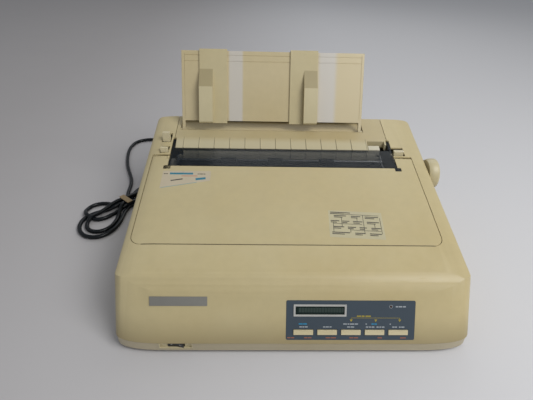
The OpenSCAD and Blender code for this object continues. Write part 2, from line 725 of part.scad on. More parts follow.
module nameplate() {
    color([0.7, 0.71, 0.72]) on_face() translate([-case_w / 2 + 46, -31.7, 0]) cube([70.3, 11.7, 0.6]);
}

// The side frames stand on the lower case's floor and carry the platen, the rods and the levers.
module frame_outline() {
    polygon([
        [rod_y - 46, floor_z], [release_pivot[0] + 12, floor_z],
        [release_pivot[0] + 12, release_pivot[1] + 8], [release_pivot[0] - 8, release_pivot[1] + 8],
        [guide_y0 + 18, platen_z + 1], [guide_y0 + 14, horn_z], [guide_y0 + 5, horn_z],
        [platen_y + 12, platen_z + 9], [platen_y - 12, platen_z + 9],
        [platen_y - 20, platen_z - 14], [rod_y + 10, rod_z + 12], [rod_y - 46, rod_z + 4]]);
}
module side_frame(x0) {
    color([0.72, 0.73, 0.74]) {
        difference() {
            union() {
                along_x(x0, x0 + frame_t) frame_outline();
                box(x0 - (x0 < 0 ? 0 : 12), x0 + (x0 < 0 ? 12 : 0) + frame_t, rod_y - 46,
                    release_pivot[0] + 12, floor_z, floor_z + frame_t);
            }
            rod(x0 - 1, x0 + frame_t + 1, platen_y, platen_z, shaft_r + run_gap);
            rod(x0 - 1, x0 + frame_t + 1, rod_y, rod_z, rod_r);
            rod(x0 - 1, x0 + frame_t + 1, bail_pivot[0], bail_pivot[1], 3 + run_gap);
            if (x0 < 0) {
                rod(x0 - 1, x0 + frame_t + 1, gap_pivot[0], gap_pivot[1], 3 + run_gap);
                rod(x0 - 1, x0 + frame_t + 1, release_pivot[0], release_pivot[1], 3 + run_gap);
                rod(x0 - 1, x0 + frame_t + 1, motor_yz[0], motor_yz[1], pinion_teeth / 2 * gear_m + 2);
            }
        }
        if (x0 < 0) rod(gear_x - 0.8, x0 + 1, idler_yz[0], idler_yz[1], 2);
    }
}
module side_frame_left() { side_frame(frame_x0); }
module side_frame_right() { side_frame(frame_x1 - frame_t); }

module platen() {
    color([0.1, 0.1, 0.11]) difference() {
        rod(platen_x0, platen_x1, platen_y, platen_z, platen_r);
        rod(platen_x0 - 1, platen_x1 + 1, platen_y, platen_z, shaft_r);
    }
}
knob_x = case_w / 2 + 3;
module platen_shaft() {
    color([0.75, 0.76, 0.78]) rod(frame_x0 - gear_w - 4, knob_x + knob_w - 6, platen_y, platen_z, shaft_r);
}
module platen_knob() {
    grip_x0 = 1.5;
    grip_x1 = knob_w - 3.5;
    color([0.8, 0.76, 0.62]) difference() {
        translate([knob_x, platen_y, platen_z]) rotate([90, 0, 90]) union() {
            rotate_extrude() polygon([
                [0, 0], [knob_r - 2.2, 0], [knob_r - 1.2, 1], [knob_r - 1.2, knob_w - 3.2], [knob_r - 3.5, knob_w],
                [knob_r - 5.5, knob_w], [knob_r - 6.5, knob_w - 1.2], [0, knob_w - 1.2]]);
            translate([0, 0, grip_x0]) linear_extrude(grip_x1 - grip_x0) difference() {
                circle(r = knob_r, $fn = 120);
                for (a = [0:15:345]) rotate(a) translate([knob_r + 0.7, 0]) circle(r = 1.6, $fn = 24);
            }
        }
        rod(knob_x - 1, knob_x + knob_w - 6, platen_y, platen_z, shaft_r);
    }
}

// The feed gears mesh outside the left frame; each is turned so that its teeth fall in the next one's gaps.
platen_teeth = 36;
idler_teeth = 24;
pinion_teeth = 14;
idler_a = 240;
motor_a = 270;
idler_yz = [platen_y + (platen_teeth + idler_teeth) / 2 * gear_m * cos(idler_a),
    platen_z + (platen_teeth + idler_teeth) / 2 * gear_m * sin(idler_a)];
motor_yz = [idler_yz[0] + (idler_teeth + pinion_teeth) / 2 * gear_m * cos(motor_a),
    idler_yz[1] + (idler_teeth + pinion_teeth) / 2 * gear_m * sin(motor_a)];
function mesh_turn(turn, n, next, a) = a + 180 + ((a - turn) * n - 180) / next;
platen_turn = 0;
idler_turn = mesh_turn(platen_turn, platen_teeth, idler_teeth, idler_a);
pinion_turn = mesh_turn(idler_turn, idler_teeth, pinion_teeth, motor_a);
function tooth(n, m, i) = let (p = 360 / n, r = n * m / 2) [
    for (c = [[-0.34, -1.2], [-0.22, 0], [-0.1, 0.9], [0.1, 0.9], [0.22, 0], [0.34, -1.2]])
        let (a = (i + c[0]) * p, q = r + c[1] * m) [q * cos(a), q * sin(a)]];
module gear(n, x0, w, yz, turn, bore) {
    translate([x0, yz[0], yz[1]]) rotate([90, 0, 90]) rotate([0, 0, turn]) linear_extrude(w) difference() {
        polygon([for (i = [0:n - 1], p = tooth(n, gear_m, i)) p]);
        circle(r = bore);
    }
}
gear_x = frame_x0 - gear_w - 1.5;
module platen_gear() { color([0.9, 0.9, 0.86]) gear(platen_teeth, gear_x, gear_w, [platen_y, platen_z], platen_turn, shaft_r); }
module idler_gear() { color([0.9, 0.9, 0.86]) gear(idler_teeth, gear_x, gear_w, idler_yz, idler_turn, 2 + run_gap); }
module feed_pinion() { color([0.8, 0.7, 0.4]) gear(pinion_teeth, gear_x, gear_w, motor_yz, pinion_turn, 2.5 + run_gap); }
motor_r = 17;
module feed_motor() {
    color([0.5, 0.5, 0.52]) {
        rod(frame_x0 + frame_t, frame_x0 + frame_t + 24, motor_yz[0], motor_yz[1], motor_r);
        rod(gear_x - 1, frame_x0 + frame_t + 1, motor_yz[0], motor_yz[1], 2.5);
    }
}

// The bail swings back on its pivots and lifts its rollers off the platen.
bail_x0 = frame_x0 + frame_t + 3;
bail_x1 = frame_x1 - frame_t - 3;
bail_lever_x = bail_cap_x + 1;
module arm_shape(a, b, r) {
    hull() {
        translate(a) circle(r = r, $fn = 24);
        translate(b) circle(r = r, $fn = 24);
    }
}
// A curved strip that moves with a lever close under the deck and closes its slot.
module slot_shield(x0, x1, pivot, r, a0) {
    along_x(x0, x1) polygon(concat(arc(pivot[0], pivot[1], r, a0, 94), arc(pivot[0], pivot[1], r - 1.2, 94, a0)));
}
module paper_bail() {
    top = deck(bail_cap_y) + 5;
    color([0.72, 0.72, 0.7]) {
        rod(bail_x0, bail_x1, bail_y, bail_z, bail_r);
        for (x = [bail_x0, bail_x1 - 2]) along_x(x, x + 2) arm_shape([bail_y, bail_z], bail_pivot, 4.2);
        rod(frame_x0 - 2, bail_x0 + 1, bail_pivot[0], bail_pivot[1], 3);
        rod(bail_x1 - 1, bail_lever_x + 2, bail_pivot[0], bail_pivot[1], 3);
        along_x(bail_lever_x - 1, bail_lever_x + 1.5) polygon([
            [bail_pivot[0] - 5, bail_pivot[1] - 4], [bail_pivot[0] + 5, bail_pivot[1] - 4],
            [bail_cap_y + 3, top - 4], [bail_cap_y - 3, top - 4]]);
        box(bail_cap_x - bail_cap_w / 2, bail_cap_x + bail_cap_w / 2, bail_cap_y - 3.5, bail_cap_y + 3.5,
            top - 8, top);
    }
}
roller_w = 24;
roller_places = [0.23, 0.47, 0.73];
module bail_rollers() {
    color([0.13, 0.13, 0.14]) for (k = roller_places)
        translate([platen_x0 + k * (platen_x1 - platen_x0), 0, 0]) difference() {
            rod(-roller_w / 2, roller_w / 2, bail_y, bail_z, roller_r);
            rod(-roller_w / 2 - 1, roller_w / 2 + 1, bail_y, bail_z, bail_r + run_gap);
        }
}

// A lever: a cap above the deck, a blade below it and a pivot pin into the left frame.
module side_lever(cap_y, pivot, cap_h, cap_d, cover_a) {
    top = deck(cap_y) + cap_h;
    blade_x = lever_x - 1.2;
    difference() {
        union() {
            along_x(blade_x, blade_x + 2.4) polygon([
                [pivot[0] - 5, pivot[1] - 5], [pivot[0] + 5, pivot[1] - 5],
                [cap_y + cap_d / 2 - 1, top - 4], [cap_y - cap_d / 2 + 1, top - 4]]);
            along_x(lever_x - lever_w / 2, lever_x + lever_w / 2) polygon([
                [cap_y - cap_d / 2, top - cap_h - 2], [cap_y + cap_d / 2, top - cap_h - 2],
                [cap_y + cap_d / 2 - 1, top], [cap_y - cap_d / 2 + 1, top]]);
            rod(blade_x, frame_x0 + frame_t + 1.5, pivot[0], pivot[1], 3);
            if (cover_a) slot_shield(lever_x - lever_w / 2, lever_x + lever_w / 2, pivot, 52.5, cover_a);
        }
    }
}
module release_lever() { color([0.78, 0.77, 0.72]) side_lever(release_cap_y, release_pivot, 13.5, 8.5, 0); }
module gap_lever() { color([0.78, 0.77, 0.72]) side_lever(gap_cap_y, gap_pivot, 5.5, 7, 76); }

// Ribbed guide behind the platen, with a block at its right end under the rear cover's notch.
guide_y0 = platen_y + 20;
horn_z = platen_z + 15;
inner_x0 = bail_x0 + 2 + 2;
inner_x1 = bail_x1 - 2 - 2;
module exit_guide() {
    lip_z = deck(rear_y0) - lip_drop;
    tick_pitch = min(rib_pitch, (inner_x1 - 1 - rib_x(0)) / (rib_count - 1));
    color([0.7, 0.67, 0.55]) {
        along_x(inner_x0, inner_x1) polygon([
            [guide_y0 + 2, platen_z + 5], [guide_y0 + 4, platen_z + 5],
            [rear_y0 + 4, lip_z - 7], [rear_y0 + 3, lip_z - 5]]);
        for (i = [0:rib_count - 1]) translate([rib_x(0) + i * tick_pitch, 0, 0]) along_x(-0.6, 0.6) polygon([
            [guide_y0 + 0.5, platen_z + 7], [guide_y0 + 3, platen_z + 7],
            [rear_y0 + 2.8, lip_z - 6.5], [rear_y0 + 1, lip_z - 5]]);
        for (x = [[frame_x0 + frame_t, inner_x0 + 1], [inner_x1 - 1, frame_x1 - frame_t]])
            along_x(x[0], x[1]) polygon([
                [guide_y0 + 6, horn_z - 6], [guide_y0 + 10, horn_z - 6],
                [guide_y0 + 11, horn_z - 2], [guide_y0 + 7, horn_z - 2]]);
        along_x(notch_x + 1, frame_x1 - frame_t - 1) polygon([
            [rear_y0 + 2, horn_z + 1], [rear_step_y - 11, horn_z + 1],
            [rear_step_y - 11, deck(rear_step_y - 11) - 3], [rear_y0 + 2, deck(rear_y0 + 2) - 4]]);
    }
}
// The pan wraps the platen from behind and below, and a ramp leads to it from the rear slot.
module paper_pan() {
    r = platen_r + 1.6;
    foot_y = release_pivot[0] + 6;
    ramp = [slot_y + slot_w - 1, deck(slot_y) - trough_d - wall - 5];
    color([0.3, 0.31, 0.33]) {
        along_x(inner_x0, inner_x1) {
            polygon(concat(arc(platen_y, platen_z, r, 0, -150, 14), arc(platen_y, platen_z, r + 1.2, -150, 0, 14)));
            polygon([[platen_y + r, platen_z - 1], [platen_y + r + 1.2, platen_z - 2],
                [ramp[0], ramp[1] - 2], ramp]);
        }
        along_x(frame_x0 + frame_t, frame_x1 - frame_t) polygon([
            [foot_y - 4, release_pivot[1] + 4], [foot_y + 2, release_pivot[1] + 4],
            [ramp[0] - 7, ramp[1] - 3], [ramp[0] - 13, ramp[1] - 5]]);
    }
}

module carriage_rod() { color([0.8, 0.81, 0.83]) rod(frame_x0 - 3, frame_x1 + 3, rod_y, rod_z, rod_r); }
rail_y = rod_y - 40;
module front_rail() {
    color([0.7, 0.71, 0.73]) along_x(frame_x0 + frame_t, frame_x1 - frame_t) polygon([
        [rail_y - 4, rod_z - 10], [rail_y + 8, rod_z - 10], [rail_y + 8, rod_z - 8],
        [rail_y - 2, rod_z - 8], [rail_y - 2, rod_z - 1], [rail_y - 4, rod_z - 1]]);
}
carriage_x = frame_x0 + frame_t + ribbon_w / 2 + 6;
module carriage() {
    color([0.14, 0.14, 0.15]) translate([carriage_x, 0, 0]) difference() {
        union() {
            box(-24, 24, rod_y - 11, rod_y + 11, rod_z - 10, rod_z + 12);
            box(-20, 20, rail_y - 7, rod_y - 10, rod_z + 3, rod_z + 7);
            box(-20, 20, rail_y - 7, rail_y - 4 - fit, rod_z - 7, rod_z + 7);
            box(-20, 20, rail_y - 2 + fit, rail_y + 1 + fit, rod_z - 7 , rod_z + 7);
            box(-8, 8, belt_y1 - 4, belt_y1 - belt_t - fit, belt_z - belt_h + 0.5, rod_z + 7);
            box(-8, 8, belt_y1 + fit, belt_y1 + 3, belt_z - belt_h + 0.5, rod_z + 7);
        }
        rod(-30, 30, rod_y, rod_z, rod_r + run_gap);
    }
}
head_top = platen_z + 6;
module print_head() {
    nose = platen_y - platen_r - 1.6;
    color([0.42, 0.43, 0.45]) translate([carriage_x, 0, 0]) {
        box(-9, 9, rod_y - 6, nose - 8, rod_z + 12, platen_z + 5);
        along_x(-4, 4) polygon([[nose - 9, platen_z - 9], [nose, platen_z - 4], [nose, platen_z + 4], [nose - 9, platen_z + 6]]);
        for (k = [0:5]) box(-18, 18, rod_y - 6 + k * 4, rod_y - 4.4 + k * 4, rod_z + 12, head_top);
    }
}
ribbon_y0 = rod_y - 46;
module ribbon_cartridge() {
    z0 = rod_z + 7 + fit;
    nose = platen_y - platen_r - 1.6;
    color([0.1, 0.1, 0.11]) translate([carriage_x, 0, 0]) {
        difference() {
            box(-ribbon_w / 2, ribbon_w / 2, ribbon_y0, rod_y - 11.5, z0, z0 + 13);
            translate([0, ribbon_y0 + 13, z0 - 1]) cylinder(h = 20, r = 3 + run_gap);
        }
        for (s = [-1, 1]) {
            box(s * 42 - 16, s * 42 + 16, rod_y - 12, rod_y + 12, z0 + 6, z0 + 13);
            translate([0, 0, z0 + 6]) linear_extrude(platen_z - z0) polygon([
                [s * 56, rod_y + 11], [s * 30, rod_y + 11], [s * 14, nose + 0.8], [s * 20, nose + 0.8]]);
        }
        box(-15, 15, nose + 0.5, nose + 0.8, platen_z - 6, platen_z + 6);
    }
}
module ribbon_knob() {
    z0 = rod_z + 7 + fit;
    color([0.75, 0.74, 0.7]) translate([carriage_x, ribbon_y0 + 13, z0]) {
        cylinder(h = 13.5, r = 3);
        translate([0, 0, 13.4]) cylinder(h = 3.5, r = 8);
        for (a = [0:60:300]) rotate([0, 0, a]) translate([7.4, 0, 13.4]) cylinder(h = 3.5, r = 1.6, $fn = 16);
    }
}

// The belt runs along the carriage between a driven pulley and a tail pulley.
belt_z = rod_z - 8;
belt_h = 6;
belt_y = rod_y - 22;
belt_y1 = belt_y + pulley_r + belt_t;
belt_x0 = frame_x0 + frame_t + 19;
belt_x1 = frame_x1 - frame_t - 19;
module belt_loop(r) {
    translate([belt_x0, belt_y - r]) square([belt_x1 - belt_x0, 2 * r]);
    for (x = [belt_x0, belt_x1]) translate([x, belt_y]) circle(r = r);
}
module drive_belt() {
    color([0.06, 0.06, 0.06]) translate([0, 0, belt_z - belt_h]) linear_extrude(belt_h) difference() {
        belt_loop(pulley_r + belt_t);
        belt_loop(pulley_r);
    }
}
module pulley(x) {
    translate([x, belt_y, belt_z - belt_h - 1.5]) difference() {
        union() {
            cylinder(h = belt_h + 3, r = pulley_r - fit);
            cylinder(h = 1.2, r = pulley_r + 2);
            translate([0, 0, belt_h + 1.8]) cylinder(h = 1.2, r = pulley_r + 2);
        }
        translate([0, 0, -1]) cylinder(h = belt_h + 6, r = 2 + run_gap);
    }
}
module drive_pulley() { color([0.85, 0.85, 0.82]) pulley(belt_x0); }
module belt_pulley() { color([0.85, 0.85, 0.82]) pulley(belt_x1); }
motor_h = 32;
module carriage_motor() {
    z1 = belt_z - belt_h - 1.8;
    color([0.5, 0.5, 0.52]) {
        translate([belt_x0, belt_y, z1 - motor_h]) cylinder(h = motor_h, r = 17);
        translate([belt_x0, belt_y, z1 - 1]) cylinder(h = belt_h + 5, r = 2);
        translate([belt_x1, belt_y, z1 - 3]) cylinder(h = belt_h + 7, r = 2);
        box(frame_x0 + frame_t, frame_x1 - frame_t, belt_y - 18, belt_y + 18, z1 - 3, z1);
    }
}

module main_board() {
    x0 = -10;
    y0 = rod_y - 30;
    color([0.12, 0.36, 0.22]) {
        difference() {
            box(x0, x0 + 150, y0, y0 + 150, floor_z + 6, floor_z + 7.6);
            for (x = [x0 + 6, x0 + 144], y = [y0 + 6, y0 + 144])
                translate([x, y, floor_z]) cylinder(h = 12, r = 1.6);
        }
        for (x = [x0 + 6, x0 + 144], y = [y0 + 6, y0 + 144])
            translate([x, y, floor_z]) difference() {
                cylinder(h = 6, r = 4);
                translate([0, 0, 1]) cylinder(h = 6, r = 1.6);
            }
        for (k = [0:2]) box(x0 + 20 + k * 40, x0 + 48 + k * 40, y0 + 30, y0 + 44, floor_z + 7.5, floor_z + 11.5);
        for (k = [0:3]) box(x0 + 20 + k * 26, x0 + 38 + k * 26, y0 + 60, y0 + 68, floor_z + 7.5, floor_z + 11);
        for (k = [0:1]) translate([x0 + 110, y0 + 95 + k * 22, floor_z + 7.5]) cylinder(h = 24, r = 8);
    }
}
module transformer() {
    x0 = frame_x0 + frame_t + 16;
    y0 = back_y - 74;
    color([0.45, 0.44, 0.42]) {
        box(x0, x0 + 66, y0, y0 + 44, floor_z, floor_z + 54);
        color([0.6, 0.45, 0.15]) box(x0 + 12, x0 + 54, y0 - 8, y0 + 52, floor_z + 10, floor_z + 44);
    }
}
port_x = case_w / 2 - 120;
port_z = split_z + 14;
module port_hole() { box(port_x - 30, port_x + 30, back_y - wall - 1, back_y + 1, port_z - 8, port_z + 8); }
module port_socket() {
    color([0.2, 0.2, 0.22]) difference() {
        union() {
            box(port_x - 29.7, port_x + 29.7, back_y - 12, back_y - 0.6, port_z - 7.7, port_z + 7.7);
            box(port_x - 33, port_x + 33, back_y - 12, back_y - wall - 0.1, port_z - 10, port_z + 10);
        }
        box(port_x - 25, port_x + 25, back_y - 8, back_y + 1, port_z - 5, port_z + 5);
    }
}

// The power cord leaves the back, lies on the desk and ends in a tied hank with its plug beside it.
cord_x = -case_w / 2 + 74;
module cord_hole() { translate([cord_x, back_y - wall - 1, cord_z]) rotate([-90, 0, 0]) cylinder(h = wall + 2, r = 7); }
module cord_bushing() {
    color([0.07, 0.07, 0.08]) translate([cord_x, back_y, cord_z]) rotate([-90, 0, 0]) difference() {
        rotate_extrude() polygon([
            [0, -wall - 3], [9, -wall - 3], [9, -wall - 0.1], [6.9, -wall - 0.1], [6.9, 0.1], [8.5, 0.1], [8.5, 2],
            [6.5, 3], [cord_r + 1.6, 26], [0, 26]]);
        translate([0, 0, 8]) cylinder(h = 30, r = cord_r);
    }
}
cord_path = [
    [cord_x, back_y + 8, cord_z], [cord_x, back_y + 30, cord_z], [-152, 226, 27], [-156, 240, 14],
    [-162, 256, 5], [-170, 275, 4], [-184, 305, 4], [-204, 340, 4], [-230, 372, 4], [-262, 394, 4],
    [-290, 403, 4], [-314, 402, 4], [-333, 390, 4], [-341, 368, 4], [-341, 340, 4], [-336, 310, 4],
    [-327, 276, 4], [-315, 245, 4], [-304, 218, 4], [-300, 196, 4], [-300, 176, 4], [-299, 157.6, 4]];
plug_path = [
    [-287, 156, 4], [-286.8, 164.3, 4], [-283.1, 178.7, 4], [-275.5, 191.4, 4.6], [-266.7, 202.6, 8.4],
    [-262, 216, 12]];
function unit(v) = v / norm(v);
function spline(p, i, t) = let (
    a = p[max(i - 1, 0)], b = p[i], c = p[i + 1], d = p[min(i + 2, len(p) - 1)])
    0.5 * (2 * b + t * (c - a) + t * t * (2 * a - 5 * b + 4 * c - d) + t * t * t * (3 * b - a - 3 * c + d));
module tube(path, r, sides, steps) {
    line = [for (i = [0:len(path) - 2], k = [0:steps - 1]) spline(path, i, k / steps)];
    pts = concat(line, [path[len(path) - 1]]);
    n = len(pts);
    function heading(i) = unit(pts[min(i + 1, n - 1)] - pts[max(i - 1, 0)]);
    function across(i) = unit(cross(heading(i), [0.02, 0.01, 1]));
    rings = [for (i = [0:n - 1], k = [0:sides - 1])
        let (s = across(i), u = cross(s, heading(i)), a = 360 * (k + 0.5) / sides)
            pts[i] + r * cos(a) * s + r * sin(a) * u];
    polyhedron(rings, concat(
        [[for (k = [0:sides - 1]) k]], [[for (k = [sides - 1:-1:0]) (n - 1) * sides + k]],
        [for (i = [0:n - 2], k = [0:sides - 1]) let (q = (k + 1) % sides)
            [i * sides + k, (i + 1) * sides + k, (i + 1) * sides + q, i * sides + q]]));
}
module power_cord() {
    color([0.06, 0.06, 0.07]) {
        tube(cord_path, cord_r, 10, 3);
        tube(plug_path, cord_r, 10, 2);
    }
}
// The hank's outline on the desk, from its tied neck round its loops.
hank_h = 16;
module cord_hank() {
    color([0.06, 0.06, 0.07]) linear_extrude(hank_h) {
        hull() {
            translate([-293, 146]) circle(r = 12);
            translate([-334, 106]) circle(r = 27);
            translate([-319, 66]) circle(r = 34);
        }
        hull() {
            translate([-290, 146]) circle(r = 10);
            translate([-257, 168]) circle(r = 27);
        }
    }
}
module cord_tie() {
    color([0.72, 0.6, 0.42]) translate([-291, 132, hank_h]) rotate([0, 0, -42]) translate([-14, -5, 0]) cube([28, 10, 1.2]);
}
module cord_plug() {
    color([0.07, 0.07, 0.08]) translate([-262, 216, 12]) rotate([-90, 0, 0]) {
        linear_extrude(30) polygon([[-10, -11], [10, -11], [13, -5], [13, 6], [10, 12], [-10, 12], [-13, 6], [-13, -5]]);
        for (x = [-6, 6]) translate([x - 0.8, -3.2, 29]) cube([1.6, 6.4, 18]);
    }
}

lower_case();
feet();
upper_case();
front_cover();
smoked_window();
rear_cover();
paper_stand();
guide_left();
guide_right();
control_panel();
display_frame();
display_glass();
key(0);  // key_1
key(1);  // key_2
key(2);  // key_3
key(3);  // key_4
key(4);  // key_5
key_board();
nameplate();
switch_frame();
power_rocker();
side_frame_left();
side_frame_right();
platen();
platen_shaft();
platen_knob();
platen_gear();
idler_gear();
feed_pinion();
feed_motor();
paper_bail();
bail_rollers();
release_lever();
gap_lever();
exit_guide();
paper_pan();
carriage_rod();
front_rail();
carriage();
print_head();
ribbon_cartridge();
ribbon_knob();
drive_belt();
drive_pulley();
belt_pulley();
carriage_motor();
main_board();
transformer();
port_socket();
cord_bushing();
power_cord();
cord_hank();
cord_tie();
cord_plug();
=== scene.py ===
import bpy
import math
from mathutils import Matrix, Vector


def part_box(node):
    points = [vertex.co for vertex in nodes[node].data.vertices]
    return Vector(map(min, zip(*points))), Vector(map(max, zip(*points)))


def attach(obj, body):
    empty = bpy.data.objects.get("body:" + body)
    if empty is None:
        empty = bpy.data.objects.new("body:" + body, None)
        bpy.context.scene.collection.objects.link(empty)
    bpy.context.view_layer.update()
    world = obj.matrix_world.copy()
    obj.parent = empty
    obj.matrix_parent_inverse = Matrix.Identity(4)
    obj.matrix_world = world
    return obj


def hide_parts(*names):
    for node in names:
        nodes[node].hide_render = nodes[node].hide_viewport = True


# The dot matrix printer's solids come in first, in metres, and stay where they are.
# Each visible piece is then dressed, or made again over its solid, in the order of assembly.
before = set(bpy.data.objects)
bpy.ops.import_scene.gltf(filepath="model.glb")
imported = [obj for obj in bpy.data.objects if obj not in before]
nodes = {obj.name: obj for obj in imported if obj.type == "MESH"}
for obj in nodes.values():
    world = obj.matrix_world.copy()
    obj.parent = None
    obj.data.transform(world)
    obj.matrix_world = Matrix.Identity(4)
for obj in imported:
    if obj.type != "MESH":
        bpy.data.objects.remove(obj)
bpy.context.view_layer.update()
bpy.ops.object.select_all(action="DESELECT")


# The camera looks down on the printer from the front, a little left of its middle.
# The printer stands on a pale floor in a plain studio with one wide lamp and soft fill.
camera_data = bpy.data.cameras.new("camera")
camera_data.sensor_width = 36
camera_data.lens = 27.69
camera_data.clip_start = 0.02
camera_data.clip_end = 60
camera = bpy.data.objects.new("camera", camera_data)
bpy.context.collection.objects.link(camera)
camera.location = (-0.0503, -0.5012, 0.4522)
camera.rotation_euler = (math.radians(55.4886), math.radians(-1.3726), math.radians(-0.9340))
bpy.context.scene.camera = camera


def hue(red, green, blue, alpha=1.0):
    """A colour as it looks on paper, 0 to 255, turned into the linear values of a shader."""
    straight = [v / 255 for v in (red, green, blue)]
    return tuple(v / 12.92 if v <= 0.04045 else ((v + 0.055) / 1.055) ** 2.4 for v in straight) + (alpha,)


def put(tree, kind, x=0, y=0, **settings):
    """Adds one shader node at a place on the sheet and sets its own properties."""
    node = tree.nodes.new(kind)
    node.location = (x, y)
    for key, value in settings.items():
        setattr(node, key, value)
    return node


def blank_material(name):
    """A new material with its shader and output, and the node tree to add to."""
    material = bpy.data.materials.new(name)
    material.use_nodes = True
    tree = material.node_tree
    return material, tree, tree.nodes["Principled BSDF"]


# The floor is painted darker towards the left and lighter towards the right, a painted falloff of the lamp's
# light, with a faint mottle over it.
floor_material, tree, shader = blank_material("studio_floor")
mottle = put(tree, "ShaderNodeTexNoise", -600, 0)
mottle.inputs["Scale"].default_value = 9
mottle.inputs["Detail"].default_value = 6
place = put(tree, "ShaderNodeTexCoord", -800, 0)
tint = put(tree, "ShaderNodeMix", -300, 0, data_type="RGBA")
tint.inputs["A"].default_value = hue(180, 176, 175)
tint.inputs["B"].default_value = hue(214, 213, 214)
across = put(tree, "ShaderNodeSeparateXYZ", -600, 250)
painted_light_sweep = put(tree, "ShaderNodeMapRange", -450, 250, interpolation_type="SMOOTHSTEP")
painted_light_sweep.inputs["From Min"].default_value = -0.75
painted_light_sweep.inputs["From Max"].default_value = 0.45
mottle_and_painted_light = put(tree, "ShaderNodeMath", -380, 100, operation="MULTIPLY_ADD", use_clamp=True)
mottle_and_painted_light.inputs[1].default_value = 0.06
tree.links.new(place.outputs["Object"], mottle.inputs["Vector"])
tree.links.new(place.outputs["Object"], across.inputs[0])
tree.links.new(across.outputs["X"], painted_light_sweep.inputs["Value"])
tree.links.new(mottle.outputs["Fac"], mottle_and_painted_light.inputs[0])
tree.links.new(painted_light_sweep.outputs["Result"], mottle_and_painted_light.inputs[2])
tree.links.new(mottle_and_painted_light.outputs[0], tint.inputs["Factor"])
tree.links.new(tint.outputs["Result"], shader.inputs["Base Color"])
shader.inputs["Roughness"].default_value = 0.85
bpy.ops.mesh.primitive_plane_add(size=16, location=(0, 3, 0))
studio_floor = bpy.context.object
studio_floor.name = "studio_floor"
studio_floor.data.materials.append(floor_material)

world = bpy.data.worlds.new("studio")
bpy.context.scene.world = world
world.use_nodes = True
tree = world.node_tree
tree.nodes.clear()
light_path = put(tree, "ShaderNodeLightPath", -900, 300)
clear = put(tree, "ShaderNodeMath", -500, 300, operation="MAXIMUM")
fill = put(tree, "ShaderNodeBackground", -500, 0)
fill.inputs["Color"].default_value = hue(236, 240, 246)
fill.inputs["Strength"].default_value = 0.36
backdrop = put(tree, "ShaderNodeBackground", -500, -160)
backdrop.inputs["Color"].default_value = hue(214, 213, 214)
backdrop.inputs["Strength"].default_value = 1.0
blend_sky = put(tree, "ShaderNodeMixShader", -250, 100)
sky_out = put(tree, "ShaderNodeOutputWorld", -50, 100)
tree.links.new(light_path.outputs["Is Camera Ray"], clear.inputs[0])
tree.links.new(light_path.outputs["Is Transmission Ray"], clear.inputs[1])
tree.links.new(clear.outputs[0], blend_sky.inputs["Fac"])
tree.links.new(fill.outputs[0], blend_sky.inputs[1])
tree.links.new(backdrop.outputs[0], blend_sky.inputs[2])
tree.links.new(blend_sky.outputs[0], sky_out.inputs["Surface"])

for name, spot, aim, size, power in (
    ("wide_lamp", (0.9, -0.65, 1.5), (0.0, 0.0, 0.1), 1.0, 19),
    ("back_lamp", (0.4, 1.7, 1.6), (0.0, 0.0, 0.1), 1.4, 6),
    ("front_lamp", (0.7, -1.9, 1.1), (0.0, 0.0, 0.1), 1.2, 3),
):
    lamp_data = bpy.data.lights.new(name, "AREA")
    lamp_data.size = size
    lamp_data.energy = power
    lamp = bpy.data.objects.new(name, lamp_data)
    bpy.context.collection.objects.link(lamp)
    lamp.location = spot
    lamp.rotation_euler = (Vector(aim) - Vector(spot)).to_track_quat("-Z", "Y").to_euler()
bpy.context.scene.view_settings.view_transform = "Standard"


# Patterns that the finishes share: the fine grain of a mould, paler worn edges, dust that
# settles on level faces, slow uneven ageing, and hairline scuffs.
def pattern_group(name, inputs, outputs):
    """A node group with number sockets, its input node and its output node."""
    group = bpy.data.node_groups.new(name, "ShaderNodeTree")
    for label, value in inputs.items():
        socket = group.interface.new_socket(name=label, in_out="INPUT", socket_type="NodeSocketFloat")
        socket.default_value = value
    for label in outputs:
        group.interface.new_socket(name=label, in_out="OUTPUT", socket_type="NodeSocketFloat")
    return group, put(group, "NodeGroupInput", -900, 0), put(group, "NodeGroupOutput", 300, 0)


mould_grain, into, out = pattern_group("mould_grain", {"Scale": 2400.0}, ["Height"])
place = put(mould_grain, "ShaderNodeTexCoord", -900, -200)
fine = put(mould_grain, "ShaderNodeTexNoise", -600, 100)
fine.inputs["Detail"].default_value = 3
pits = put(mould_grain, "ShaderNodeTexVoronoi", -600, -200)
join = put(mould_grain, "ShaderNodeMath", -300, 0, operation="MULTIPLY")
mould_grain.links.new(place.outputs["Object"], fine.inputs["Vector"])
mould_grain.links.new(place.outputs["Object"], pits.inputs["Vector"])
mould_grain.links.new(into.outputs["Scale"], fine.inputs["Scale"])
mould_grain.links.new(into.outputs["Scale"], pits.inputs["Scale"])
mould_grain.links.new(fine.outputs["Fac"], join.inputs[0])
mould_grain.links.new(pits.outputs["Distance"], join.inputs[1])
mould_grain.links.new(join.outputs[0], out.inputs["Height"])

worn_edge, into, out = pattern_group(
    "worn_edge", {"Start": 0.53, "End": 0.62, "Breakup": 70.0}, ["Mask", "Hollow"],
)
shape = put(worn_edge, "ShaderNodeNewGeometry", -900, 250)
place = put(worn_edge, "ShaderNodeTexCoord", -900, -200)
rub = put(worn_edge, "ShaderNodeTexNoise", -650, -150)
rub.inputs["Detail"].default_value = 4
ridge = put(worn_edge, "ShaderNodeMapRange", -600, 250)
both = put(worn_edge, "ShaderNodeMath", -250, 100, operation="MULTIPLY")
hollow = put(worn_edge, "ShaderNodeMapRange", -600, 500)
hollow.inputs["From Min"].default_value = 0.49
hollow.inputs["From Max"].default_value = 0.40
worn_edge.links.new(place.outputs["Object"], rub.inputs["Vector"])
worn_edge.links.new(into.outputs["Breakup"], rub.inputs["Scale"])
worn_edge.links.new(shape.outputs["Pointiness"], ridge.inputs["Value"])
worn_edge.links.new(shape.outputs["Pointiness"], hollow.inputs["Value"])
